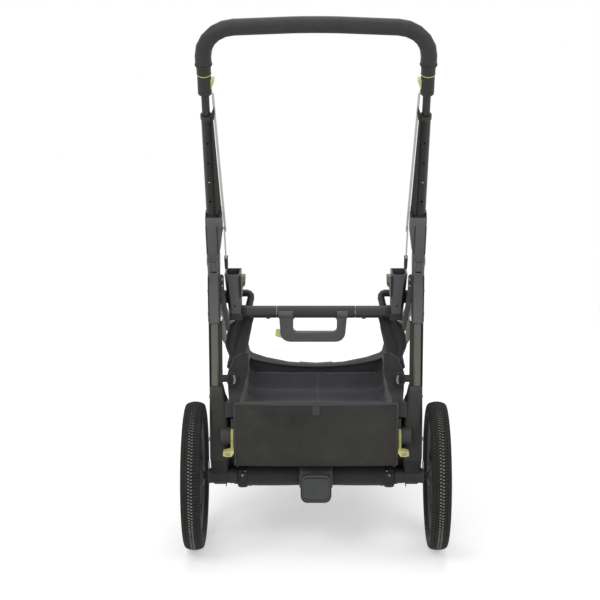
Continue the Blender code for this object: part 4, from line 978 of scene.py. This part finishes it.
def make_basket():
    """Make the shell with its back and front walls as one sheet of cloth."""
    work = bmesh.new()
    grid = [[work.verts.new(basket_place(row / (SHELL_ROWS - 1), column / (SHELL_ROWS - 1)))
             for column in range(SHELL_ROWS)] for row in range(SHELL_ROWS)]
    for low, high in zip(grid, grid[1:]):
        for index in range(SHELL_ROWS - 1):
            work.faces.new((low[index], high[index], high[index + 1], low[index + 1]))
    fill_wall(work, grid[0], -1)
    fill_wall(work, grid[-1], 1)
    shell = finish_mesh("basket_shell", work, BASKET_CLOTH)
    shell.data.materials.append(SHADED_SIDE_CLOTH)
    shell.data.materials.append(PAINTED_LIGHT_WALL_CLOTH)
    for face in shell.data.polygons:
        # Faces that look sideways get the darker copy of the weave: painted shade.
        if abs(face.normal.x) > 0.7:
            face.material_index = 1
        # The front wall's faces get the lighter copy of the weave: painted light.
        if abs(face.normal.y) > 0.7 and face.center.y > 0:
            face.material_index = 2
    thicken(shell, thickness=0.0022, offset=1.0, use_even_offset=False)
    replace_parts(shell, "basket")
    return shell


basket = make_basket()
left_rim, right_rim = (trace(lambda u, v=v: basket_place(u, v), 60) for v in (0.0, 1.0))
back_rim, front_rim = (trace(lambda share, end=end: left_rim[end].lerp(right_rim[end], share), 30)
                       for end in (0, -1))
for step, point in enumerate(front_rim):
    point.z -= FRONT_SAG * math.sin(math.pi * step / 30) ** 0.7
# The side rims take the darker copy of the weave: painted shade.
sewn_on = [tube(f"basket_rim_{label}", line, 0.003, cover, 12) for label, line, cover in
           (("left", left_rim, SHADED_SIDE_CLOTH), ("right", right_rim, SHADED_SIDE_CLOTH),
            ("back", back_rim, PIPING_CLOTH), ("front", front_rim, PIPING_CLOTH))]
lines = [trace(lambda u, v=v: basket_place(u, v), 110, 0.01, 0.99, shift)
         for v, shift in ((0.022, (0.0006, 0, 0)), (0.978, (-0.0006, 0, 0)),
                          (0.2, (0, 0, 0.0006)), (0.8, (0, 0, 0.0006)))]
sewn_on.append(seams("basket_stitches", lines))
middle_line = trace(lambda u: basket_place(u, 0.5), 60, 0.02, 0.98, (0.004, 0, 0.0008))
sewn_on.append(tube("basket_centre_seam", middle_line, 0.0014, PIPING_CLOTH, 8, flat=0.7))
BACK_WALL_AREA = 0.328 * 0.131
FRONT_WALL_AREA = 0.02
shell_area = grid_area(basket_place, 60, 60) + BACK_WALL_AREA + FRONT_WALL_AREA

# Gathered sleeves on the axle

GATHERS = 150
SLEEVE_BORE = 0.0131
SLEEVE_RADIUS = 0.02
for side, sign in SIDES:
    profile = [(SLEEVE_BORE, 0.124), (SLEEVE_RADIUS, 0.124)]
    for index in range(GATHERS + 1):
        height = 0.1235 - index * (0.1231 / GATHERS)
        swell = 0.0008 * math.sin(math.pi * index / GATHERS)
        rib = 0.00055 * math.sin(index * 2 * math.pi / 4.0 + 0.9 * math.sin(index * 0.7))
        banded = height > 0.098
        profile.append((SLEEVE_RADIUS + swell + rib * (0.4 if banded else 1.0)
                        + (0.001 if banded else 0.0), height))
    profile += [(SLEEVE_RADIUS, 0.0), (SLEEVE_BORE, 0.0)]
    sleeve = lathe(f"axle_sleeve_cloth_{side}", profile, side_point(sign, 0.0343, REAR_AXLE),
                   ALONG_X * sign, BASKET_CLOTH, steps=64, angle=70)
    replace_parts(sleeve, f"axle_sleeve_{side}")

# Fittings on both sides: slabs, turned pieces and screws, whose numbers are for the right side

MOUTH_BOX = rounded_box((0.1862, -0.0114), (0.2158, 0.0114), 0.004)
LINK_BAR = arc((0.1902, 0.569), 0.005, 0, 180, 9) + [
    (0.1848, 0.5422), (0.1806, 0.5109), (0.1766, 0.4795), (0.1752, 0.46), (0.179, 0.456),
    (0.185, 0.46), (0.1866, 0.4795), (0.19, 0.5109), (0.195, 0.5422)]
LEVER_STRIP = arc((LEVER.y, LEVER.z), 0.0163, -20, 200, 22) + [
    (LEVER.y - 0.018, LEVER.z - 0.024), (LEVER.y - 0.018, LEVER.z - 0.0335),
    (LEVER.y - 0.005, LEVER.z - 0.0335)]
LEVER_FOOT_LOW = LEVER.z - 0.0345
LEVER_FOOT = [(x, LEVER_FOOT_LOW + rise) for x, rise in (
    (0.1884, 0.002), (0.1884, 0.0085), (0.179, 0.0112), (0.17, 0.0128), (0.1672, 0.015),
    (0.1664, 0.008), (0.1712, 0.0006), (0.182, 0.0002))]

# Name, placing, two depths, bevel, finish, body, node it stands for, outline
SLABS = (
    ("adjuster_wedge", on_side, -0.0054, 0.0054, 0.0006, GREEN_PLASTIC, "adjuster_button",
     "adjuster_button",
     ((0.1935, 0.4116), (0.1918, 0.4116), (0.1905, 0.417), (0.1878, 0.424), (0.1862, 0.43),
      (0.1866, 0.4316), (0.1935, 0.4316))),
    ("rod_clip", on_side, -0.0064, -0.0024, 0.0006, BLACK_PLASTIC, "push_frame", None,
     ((0.195, 0.344), (0.195, 0.356), (0.1925, 0.364), (0.1893, 0.3665), (0.1885, 0.356),
      (0.1905, 0.344))),
    ("mouth_horn", on_side, -0.0095, 0.0095, 0.0006, BLACK_PLASTIC, "push_frame", None,
     ((0.185, 0.115), (0.185, 0.1305), (0.1868, 0.129), (0.19, 0.1181), (0.19, 0.115))),
    ("mouth_shoulder", on_side, -0.01, 0.01, 0.0004, BLACK_PLASTIC, "push_frame", None,
     ((0.2166, 0.115), (0.2166, 0.1215), (0.2158, 0.1222), (0.215, 0.1181), (0.215, 0.115))),
    ("mouth_plate", on_mouth, 0.116, 0.1187, 0.0006, BLACK_PLASTIC, "push_frame", None, MOUTH_BOX),
    ("rod_lower", on_side, -0.0052, -0.0016, 0.0005, PALE_METAL, "push_frame", None,
     ((0.1788, 0.003), (0.1816, 0.003), (0.1822, 0.085), (0.1794, 0.085))),
    ("rod_clevis", on_side, -0.0062, 0.006, 0.0012, BLACK_PLASTIC, "push_frame", None,
     ((0.1772, -0.016), (0.1832, -0.016), (0.1838, 0.01), (0.1768, 0.01))),
    ("housing_seam", on_side, -0.0199, -0.019, 0.0, BLACK_PLASTIC, "push_frame", None,
     ((0.1932, 0.011), (0.2168, 0.0128), (0.2168, 0.014), (0.1932, 0.0122))),
    ("link_bar", across, -0.2672, -0.2638, 0.0007, DARK_PLASTIC, "chassis", None, LINK_BAR),
    ("link_blade", across, -0.271, -0.268, 0.0007, OLIVE_PLASTIC, "chassis", None,
     ((0.1905, 0.483), (0.1846, 0.479), (0.1812, 0.456), (0.1815, 0.44), (0.185, 0.4305),
      (0.1905, 0.44))),
    ("crossbar_socket", across, -0.2452, -0.2385, 0.0012, BLACK_PLASTIC, "chassis", None,
     rounded_box((0.15, 0.4722), (0.1768, 0.485), 0.0022)),
    ("adapter_tab", across, -0.242, -0.22, 0.001, OLIVE_PLASTIC, "chassis", None,
     ((0.1522, 0.564), (0.144, 0.564), (0.1432, 0.561), (0.1438, 0.545), (0.149, 0.54),
      (0.15, 0.521), (0.1522, 0.518))),
    ("bracket_hook", across, -0.302, -0.28, 0.0025, DARK_PLASTIC, "chassis", "axle_bracket",
     ((0.185, 0.315), (0.168, 0.316), (0.1662, 0.314), (0.1662, 0.288), (0.168, 0.285),
      (0.185, 0.283))),
    ("bracket_fin", across, -0.296, -0.28, 0.0, BLACK_PLASTIC, "chassis", None,
     ((0.1835, 0.14), (0.1845, 0.128), (0.1865, 0.14))),
    ("bracket_web", across, -0.268, -0.2645, 0.0008, BLACK_PLASTIC, "chassis", "axle_bracket",
     rounded_box((0.1622, 0.15), (0.183, 0.308), 0.004)),
    ("wheel_release", along, 0.2185, 0.2215, 0.0008, PALE_METAL, "chassis", None,
     rounded_box((-0.2925, 0.166), (-0.2835, 0.183), 0.003)),
    ("lever_strip", along, 0.1681, 0.1734, 0.0008, GREEN_PLASTIC, "lock_lever", "lock_lever",
     LEVER_STRIP),
    ("lever_foot", across, -0.333, -0.3125, 0.001, GREEN_PLASTIC, "lock_lever", "lock_lever",
     LEVER_FOOT),
    ("lever_bar", across, -0.305, -0.296, 0.0006, GREY_PLASTIC, "lock_lever", None,
     rounded_box((0.1684, 0.259), (0.173, 0.281), 0.0015)),
)


def on_tube(distance):
    return side_point(1, FRAME_X, on_handle(distance))


# Name, start, direction (outwards where None), steps, finish, body, node it stands for, profile
TURNED = (
    ("grip_ring", on_tube(ADJUSTER_TOP), HANDLE_UP, 48, GREEN_PLASTIC, "handlebar", None,
     ((0.0083, 0.0001), (0.0136, 0.0001), (0.0141, 0.0007), (0.0136, 0.0013), (0.0083, 0.0013))),
    ("grip_end_lip", on_tube(0.4605), HANDLE_UP, 48, GRIP_COVER, "handlebar", None,
     ((0.0133, 0.0), (0.016, 0.0004), (0.0163, 0.0016), (0.0156, 0.003), (0.0148, 0.0032),
      (0.0133, 0.0028))),
    ("tube_rim_ring", on_tube(OUTER_TUBE_TOP + 0.0002), HANDLE_UP, 48, BLACK_PLASTIC, "push_frame",
     None, ((0.0085, 0.0), (0.011, 0.0), (0.011, 0.001), (0.0102, 0.0016), (0.0085, 0.0016))),
    ("mouth_ring", on_tube(HOUSING_TOP + 0.0001), HANDLE_UP, 48, BLACK_PLASTIC, "push_frame", None,
     ((0.0102, 0.0), (0.0122, 0.0), (0.012, 0.0016), (0.0102, 0.0022))),
    ("lock_pin", on_tube(HOLES[2]) - HANDLE_AHEAD * 0.009, -HANDLE_AHEAD, 24, PALE_METAL,
     "push_frame", None,
     ((0.0, 0.0012), (0.001, 0.0011), (0.0018, 0.0006), (0.0021, -0.001), (0.0, -0.001))),
    ("link_hole_rim", Vector((0.1888, -0.2673, 0.557)), BACKWARDS, 20, BLACK_PLASTIC, "chassis",
     None, ((0.0012, 0.0), (0.0024, 0.0), (0.0022, 0.0008), (0.0014, 0.0008))),
    ("adapter_boss", Vector((0.1785, -0.213, 0.514)), None, 48, BLACK_PLASTIC, "chassis",
     "seat_adapter",
     ((0.0, 0.0), (0.013, 0.0), (0.0135, 0.0006), (0.0135, 0.014), (0.0, 0.014))),
    # A pale steel ring at each seam of the crossbar: painted highlight.
    ("crossbar_ring", side_point(1, 0.0798, CROSSBAR), None, 48, STEEL, "chassis", None,
     ((0.0086, 0.0), (0.012, 0.0), (0.0124, 0.0007), (0.012, 0.0014), (0.0086, 0.0014))),
    ("crossbar_cap", side_point(1, 0.1425, CROSSBAR), None, 48, BLACK_PLASTIC, "chassis", None,
     ((0.0126, 0.0), (0.0138, 0.0008), (0.0138, 0.0085), (0.0126, 0.0095))),
    ("bracket_clamp", side_point(1, 0.168, REAR_AXLE), None, 48, DARK_PLASTIC, "chassis",
     "axle_bracket",
     ((0.0128, 0.0), (0.0158, 0.0), (0.0162, 0.001), (0.0162, 0.0085), (0.0156, 0.01),
      (0.0156, 0.05), (0.0164, 0.051), (0.0164, 0.0535), (0.0128, 0.054))),
    ("lever_socket", side_point(1, 0.1738, LEVER), None, 48, DARK_PLASTIC, "chassis", "axle_bracket",
     ((0.0055, 0.0), (0.0165, 0.0), (0.0182, 0.0012), (0.0185, 0.02), (0.0055, 0.02))),
    ("axle_collar", side_point(1, 0.1606, REAR_AXLE), None, 48, DARK_PLASTIC, "chassis", None,
     ((0.0126, 0.0), (0.0172, 0.0), (0.0178, 0.0008), (0.0178, 0.0068), (0.0172, 0.0074),
      (0.0126, 0.0074))),
    ("lever_pin", side_point(1, 0.1716, LEVER), None, 48, GREEN_PLASTIC, "lock_lever", "lock_lever",
     ((0.0, 0.0124), (0.005, 0.0124), (0.005, 0.0), (0.0, 0.0))),
)

UNDER = Vector((0, -0.55, -0.835))
UNDER_CROSSBAR = CROSSBAR + UNDER * 0.0124
# Name, finish and heads as (x, y, z, direction (outwards where None), radius)
SCREWS = (
    ("link_rivets", PALE_METAL, ((0.1888, -0.2674, 0.564, BACKWARDS, 0.0021),
                                 (0.1888, -0.2674, 0.551, BACKWARDS, 0.0021))),
    ("adapter_screws", BLACK_PLASTIC, ((0.1466, -0.2422, 0.55, BACKWARDS, 0.0016),
                                       (0.164, -0.243, 0.502, BACKWARDS, 0.002))),
    ("crossbar_screws", BLACK_TUBE, ((0.132, *UNDER_CROSSBAR.yz, UNDER, 0.0046),
                                     (0.098, *UNDER_CROSSBAR.yz, UNDER, 0.0046))),
    ("housing_screws", STEEL, ((HOUSING_OUTER + 0.0001, -0.266, 0.54, None, 0.0034),
                               (HOUSING_OUTER + 0.0001, -0.268, 0.492, None, 0.0034),
                               (HOUSING_OUTER + 0.0001, -0.212, 0.52, None, 0.0034))),
    # Two pale metal dots on the knob: painted highlight.
    ("axle_knob_studs", PALE_METAL,
     ((0.1505, REAR_AXLE.y - 0.0238, REAR_AXLE.z + 0.009, (0, -0.94, 0.34), 0.002),
      (0.145, REAR_AXLE.y - 0.018, REAR_AXLE.z + 0.0165, (0, -0.74, 0.68), 0.0016))),
    ("bracket_screws", STEEL, ((0.2173, -0.288, 0.232, None, 0.0042),
                               (0.2173, -0.282, 0.322, None, 0.0028))),
)

for side, sign in SIDES:
    outwards = ALONG_X * sign
    for name, placing, low, high, bevel, finish, body, node, outline in SLABS:
        piece = slab(f"{name}_{side}", outline, placing(sign), low, high, finish, bevel,
                     body_on(side, body))
        if node:
            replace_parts(piece, f"{node}_{side}")
    for name, start, direction, steps, finish, body, node, profile in TURNED:
        piece = lathe(f"{name}_{side}", profile, side_point(sign, start.x, start),
                      outwards if direction is None else direction, finish, body_on(side, body),
                      steps=steps)
        if node:
            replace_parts(piece, f"{node}_{side}")
    for name, finish, heads in SCREWS:
        screws(f"{name}_{side}", [(Vector((sign * x, y, z)),
                                   outwards if direction is None else direction, radius)
                                  for x, y, z, direction, radius in heads], finish)

# Fittings of the handle and the housings

HOLE_RIM = 0.0027
# Distance up the handle and inner x of the rail beside the tube
RAIL = ((0.119, 0.1846), (0.23, 0.1886), (0.343, 0.1926))
# Heights and depths of the beads on the two housings
BEADS = (("push_housing", "push_frame", ((0.622, -0.2893), (0.645, -0.299), (0.665, -0.3077),
                                         (0.684, -0.3158))),
         ("side_housing", "chassis", ((0.479, -0.2793), (0.505, -0.2784), (0.545, -0.2768),
                                      (0.572, -0.274))))
# Height and corners (x, y) of the adapter's sections, up its outside and down its inside
ADAPTER = (
    (0.4745, ((0.154, -0.185), (0.154, -0.239), (0.1552, -0.2415), (0.1695, -0.2415),
              (0.175, -0.232), (0.178, -0.185))),
    (0.4765, ((0.1528, -0.1835), (0.1528, -0.24), (0.1545, -0.243), (0.1702, -0.243),
              (0.1765, -0.233), (0.18, -0.1835))),
    (0.566, ((0.153, -0.1835), (0.153, -0.234), (0.16, -0.243), (0.1795, -0.243),
              (0.1858, -0.233), (0.1858, -0.1835))),
    (0.5672, ((0.1538, -0.1843), (0.1538, -0.2336), (0.1603, -0.2422), (0.1791, -0.2422),
              (0.185, -0.2326), (0.185, -0.1843))),
    (0.5668, ((0.1562, -0.1868), (0.1562, -0.2322), (0.1612, -0.2392), (0.1782, -0.2392),
              (0.1822, -0.2318), (0.1822, -0.1868))),
    (0.52, ((0.1562, -0.1868), (0.1562, -0.233), (0.16, -0.2392), (0.1745, -0.2392),
              (0.1775, -0.2318), (0.1785, -0.1868))))


def make_adapter(side, sign):
    """Make the open socket of a seat adapter, dark inside and on its outer side: painted shade."""
    loops = [[Vector((sign * x, y, z)) for x, y in corners] for z, corners in ADAPTER]
    adapter = loft(f"adapter_body_{side}", loops, GREY_PLASTIC, angle=12)
    adapter.data.materials.append(BLACK_PLASTIC)
    # Black on the outer side and on the pocket's floor: painted shade.
    for face in adapter.data.polygons:
        is_floor = abs(face.normal.z) > 0.9 and face.center.z < 0.53
        if sign * face.normal.x > 0.3 or is_floor:
            face.material_index = 1
    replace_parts(adapter, f"seat_adapter_{side}")


for side, sign in SIDES:
    rail = [[side_point(sign, a, on_handle(distance, b))
             for a, b in ((x, -0.0045), (0.1962, -0.006), (0.1962, 0.004), (x, 0.003))]
            for distance, x in RAIL]
    loft(f"tube_rail_{side}", rail, BLACK_PLASTIC, "push_frame")
    work = bmesh.new()
    for distance in HOLES:
        centre = side_point(sign, FRAME_X, on_handle(distance)) - HANDLE_AHEAD * 0.0097
        sweep(work, [centre + ALONG_X * math.cos(angle) * HOLE_RIM
                     + HANDLE_UP * math.sin(angle) * HOLE_RIM for angle in turns(20)],
              0.00045, 8, closed=True)
    finish_mesh(f"hole_rims_{side}", work, BLACK_TUBE, "push_frame")
    for label, bead_x, inner, outer in (("outer", 0.2158, 0.2148, 0.217),
                                        ("inner", 0.1944, 0.1902, 0.1966)):
        for housing, body, line in BEADS:
            tube(f"{housing}_bead_{label}_{side}", [(sign * bead_x, y, z) for z, y in line], 0.0015,
                 BLACK_PLASTIC, 10, body)
        strips = []
        for z in (0.34, 0.476):
            y = -0.2632 - (0.5262 - z) * 0.0669
            strips.append([Vector((sign * a, b, z)) for a, b in
                           rounded_box((inner, y - 0.0068), (outer, y + 0.0068), 0.001)])
        loft(f"leg_edge_{label}_{side}", strips, BLACK_PLASTIC)
    make_adapter(side, sign)

# Strut sleeves, gussets, side flaps and loops

STRUT_DOWN = (STRUT_FOOT - STRUT_TOP).normalized()
STRUT_WIDE = (ALONG_X - STRUT_DOWN * STRUT_DOWN.x).normalized()
STRUT_DEEP = STRUT_DOWN.cross(STRUT_WIDE).normalized()
STRUT_BORE = 0.0079
SLEEVE_HALF = ((0.0, 0.015), (0.3, 0.0152), (0.62, 0.0146), (1.0, 0.015))
SLEEVE_STEPS = 40
SLEEVE_SIDES = 44
# Each table of the gusset and the flap gives x or y by the share of its height
GUSSET_INNER = ((0.0, 0.1535), (1.0, 0.17))
GUSSET_OUTER = ((0.0, 0.156), (0.33, 0.18), (0.6, 0.185), (1.0, 0.1735))
FLAP_INNER = ((0.0, 0.1375), (0.4, 0.1375), (0.68, 0.145), (1.0, 0.1535))
FLAP_OUTER = ((0.0, 0.15), (0.12, 0.168), (0.5, 0.179), (0.73, 0.1775), (1.0, 0.1745))
FLAP_Y = ((0.0, -0.274), (0.38, -0.2805), (0.55, -0.284), (0.78, -0.292), (1.0, -0.3195))
# The middle of the plastic loop at the foot of each sleeve
LOOP = Vector((0.169, -0.295, 0.3625))


def beside_strut(sign, share, wide, deep):
    """Return a point beside the strut's axis, by a share of the sleeve's length."""
    place = STRUT_TOP.lerp(STRUT_FOOT, 0.262 + 0.64 * share) + STRUT_WIDE * wide + STRUT_DEEP * deep
    return Vector((sign * place.x, place.y, place.z))


def sleeve_place(sign, share, angle):
    """Return a point of the padded sleeve, which is wide and creased."""
    ends = min(1.0, (share * (1 - share)) * 30 + 0.72)
    crease = 0.0007 * math.sin(7 * angle + 9 * share) + 0.0011 * noise.noise(
        Vector((math.cos(angle) * 1.7, math.sin(angle) * 1.7, share * 7 + sign)))
    towards_middle = 0.0012 * max(0.0, -math.cos(angle)) * math.sin(math.pi * share)
    wide = math.cos(angle) * (between(SLEEVE_HALF, share) + crease + towards_middle) * ends
    return beside_strut(sign, share, wide, math.sin(angle) * (0.0108 + crease) * ends)


def gusset_place(sign, u, v):
    """Return a point of the cloth gusset between the sleeve and the leg."""
    inner = between(GUSSET_INNER, v)
    x = inner + (between(GUSSET_OUTER, v) - inner) * u
    y = -0.206 - 0.052 * v - 0.01 * u
    y += 0.0026 * math.sin(2.4 * math.pi * u + 1.5 * v) * math.sin(math.pi * min(1, v + 0.05))
    return Vector((sign * x, y, 0.478 - 0.086 * v))


def flap_place(sign, u, v):
    """Return a point of the basket's side flap, which hangs under the sleeve's foot."""
    inner = between(FLAP_INNER, v)
    x = inner + (between(FLAP_OUTER, v) - inner) * u
    fold = math.sin(2 * math.pi * (1.2 * u + 0.35 * v)) * math.sin(math.pi * min(1.0, v + 0.04))
    return Vector((sign * x, between(FLAP_Y, v) + 0.0024 * fold, 0.412 - 0.093 * v))


def make_sleeve(side, sign):
    """Make the padded sleeve with its bore, and its stitches."""
    work = bmesh.new()
    rings = [[work.verts.new(sleeve_place(sign, step / SLEEVE_STEPS, angle))
              for angle in turns(SLEEVE_SIDES)] for step in range(SLEEVE_STEPS + 1)]
    bores = [[work.verts.new(beside_strut(sign, share, math.cos(angle) * STRUT_BORE,
                                          math.sin(angle) * STRUT_BORE))
              for angle in turns(SLEEVE_SIDES)] for share in (0.0, 1.0)]
    bridge(work, [bores[0]] + rings + [bores[1]], closed=True)
    sleeve = finish_mesh(f"strut_sleeve_cloth_{side}", work, SLEEVE_CLOTH)
    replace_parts(sleeve, f"strut_sleeve_{side}")
    shift = (0, -0.0003, 0)
    lines = [trace(lambda share, angle=angle: sleeve_place(sign, share, angle), 40, 0.02, 0.98, shift)
             for angle in (4.05, 4.2)]
    lines += [trace(lambda angle, share=share: sleeve_place(sign, share, angle), 20, math.pi,
                    2 * math.pi, shift) for share in (0.03, 0.97)]
    seams(f"strut_sleeve_stitches_{side}", lines)


def hang_sheet(name, place, columns, rows, hem_radius, hems, side):
    """Hang a hemmed sheet of cloth on a strut."""
    sheet = cloth_grid(f"{name}_{side}", columns, rows, place, SLEEVE_CLOTH)
    pieces = [tube(f"{hem}_{side}", trace(lambda v, u=u: place(u, v), 30), hem_radius, PIPING_CLOTH, 8)
              for hem, u in hems]
    grid_area(place, columns, rows)


for side, sign in SIDES:
    make_sleeve(side, sign)
    hang_sheet("strut_gusset", lambda u, v, s=sign: gusset_place(s, u, v), 18, 34,
               0.0012, (("strut_gusset_hem", 1.0),), side)
    hang_sheet("basket_side_flap", lambda u, v, s=sign: flap_place(s, u, v), 26, 36,
               0.0013, (("basket_flap_hem_inner", 0.0), ("basket_flap_hem_outer", 1.0)), side)
    work = bmesh.new()
    sweep(work, [(sign * (LOOP.x + 0.0102 * math.cos(angle)), LOOP.y - 0.002 * math.sin(angle),
                  LOOP.z + 0.014 * math.sin(angle)) for angle in turns(36)], 0.0026, 12, closed=True)
    finish_mesh(f"strut_loop_{side}", work, BLACK_PLASTIC)
    # Two pale steel arcs inside the black loop: painted highlight.
    for label, reach, radius in (("outer", 0.0062, 0.0009), ("inner", 0.0036, 0.0008)):
        painted_highlight_arc = [(sign * (LOOP.x - y * 0.9), LOOP.y - 0.0005, LOOP.z + z / reach * 0.0105)
                 for y, z in arc((0, 0), reach, -60, 60, 15)]
        tube(f"strut_loop_{label}_{side}", painted_highlight_arc, radius, STEEL, 8)

# Axle brackets, knobs and the marks of the levers

# Height, inner and outer x, back and front y and corner radius of each section
BRACKET_SHELL = (
    (0.3445, 0.19, 0.215, -0.288, -0.264, 0.006),
    (0.343, 0.1888, 0.2164, -0.291, -0.262, 0.008),
    (0.34, 0.1882, 0.2168, -0.2925, -0.2612, 0.009),
    (0.325, 0.185, 0.2168, -0.2945, -0.2612, 0.009),
    (0.314, 0.1805, 0.2168, -0.296, -0.2611, 0.009),
    (0.29, 0.1795, 0.217, -0.2985, -0.2612, 0.008),
    (0.269, 0.1792, 0.217, -0.301, -0.2615, 0.007),
    (0.23, 0.1788, 0.2172, -0.303, -0.262, 0.007),
    (0.196, 0.1784, 0.2172, -0.305, -0.264, 0.007),
    (0.1905, 0.179, 0.2168, -0.3045, -0.265, 0.006))
BRACKET_FOOT = (
    (0.1898, 0.1796, 0.2162, -0.304, -0.2655, 0.005),
    (0.169, 0.18, 0.215, -0.303, -0.27, 0.005),
    (0.156, 0.181, 0.214, -0.3, -0.274, 0.005),
    (0.14, 0.183, 0.212, -0.296, -0.279, 0.004),
    (0.1355, 0.185, 0.21, -0.293, -0.282, 0.003))
# Distance from the centre line, radius and depth of the grooves of the knob
AXLE_KNOB = ((0.1402, 0.0212, 0.0), (0.1412, 0.023, 0.0003), (0.144, 0.0243, 0.001),
             (0.1505, 0.0248, 0.0011), (0.157, 0.0243, 0.001), (0.1598, 0.023, 0.0003),
             (0.1608, 0.0208, 0.0))


def oval(wide, high):
    """Return an oval on the foot of a lever."""
    return [(0.1785 + wide * math.cos(angle), LEVER_FOOT_LOW + 0.0058 + high * math.sin(angle))
            for angle in turns(28)]


for side, sign in SIDES:
    for name, sections, finish in (("bracket_shell", BRACKET_SHELL, BRACKET_PLASTIC),
                                   ("bracket_foot", BRACKET_FOOT, BLACK_PLASTIC)):
        loops = [[Vector((sign * x, y, z))
                  for x, y in rounded_box((inner, back), (outer, front), corner)]
                 for z, inner, outer, back, front, corner in sections]
        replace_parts(loft(f"{name}_{side}", loops, finish, angle=50), f"axle_bracket_{side}")
    knob = []
    for x, reach, groove in AXLE_KNOB:
        ring = []
        for step, angle in enumerate(turns(90)):
            radius = reach - (groove if step % 5 < 2 else 0.0)
            ring.append((sign * x, REAR_AXLE.y + radius * math.cos(angle),
                         REAR_AXLE.z + radius * math.sin(angle)))
        knob.append(ring)
    loft(f"axle_knob_{side}", knob, BLACK_PLASTIC, angle=30)
    border(f"lever_mark_{side}", oval(0.0048, 0.0026), oval(0.0036, 0.0016), across(sign), -0.3336,
           -0.3329, OLIVE_PLASTIC, f"lock_lever_{side}", "green_plastic")

# Brake pedal, bow trim and the cheeks of the fold handle, which hug the crossbar

slab("pedal_pad", rounded_box((-0.0308, 0.1158), (0.0308, 0.1768), 0.0135, 9), across(1), -0.3475,
     -0.3432, BLACK_PLASTIC, 0.0012, "brake_pedal")
border("pedal_border", rounded_box((-0.0278, 0.1192), (0.0278, 0.1745), 0.012, 9),
       rounded_box((-0.0262, 0.1208), (0.0262, 0.1722), 0.0105, 9), across(1), -0.347, -0.3482,
       GREY_PLASTIC, "brake_pedal")
slab("pedal_face", rounded_box((-0.0255, 0.1235), (0.0255, 0.1685), 0.0098, 9), across(1), -0.349,
     -0.347, PEDAL_PLASTIC, 0.0009, "brake_pedal", 3)
brake_lip = trace(lambda t: Vector((-0.03 + 0.06 * t, -0.316 + 0.001 * math.sin(math.pi * t),
                                    0.1665)), 20)
tube("brake_lip", brake_lip, 0.0022, PIPING_CLOTH, 10, slot="grey_plastic")
bow_strip = trace(lambda x: Vector((x, 0.216 + 0.0154 * abs(x) / 0.0653, 0.2333)), 24, -0.0385,
                  0.0385)
tube("bow_strip", bow_strip, 0.0062, OLIVE_PLASTIC, 20, "front_frame")
for label, low, high in (("left", -0.0766, -0.0472), ("right", 0.0432, 0.0646)):
    outline = arc((CROSSBAR.y, CROSSBAR.z), 0.0136, 158, 262, 16)
    outline += arc((CROSSBAR.y, CROSSBAR.z), 0.0127, 262, 158, 16)
    slab(f"fold_handle_cheek_{label}", outline, along(1), low, high, CHEEK_PLASTIC,
         body="fold_handle")

# Skins of the other nodes

MADE_AGAIN = ("tyre", "_wheel", "basket", "axle_sleeve", "strut_sleeve", "axle_bracket",
              "lock_lever", "adjuster_button", "seat_adapter")
for name in sorted(NODES):
    if not any(word in name for word in MADE_AGAIN):
        smoothed_copy(name)
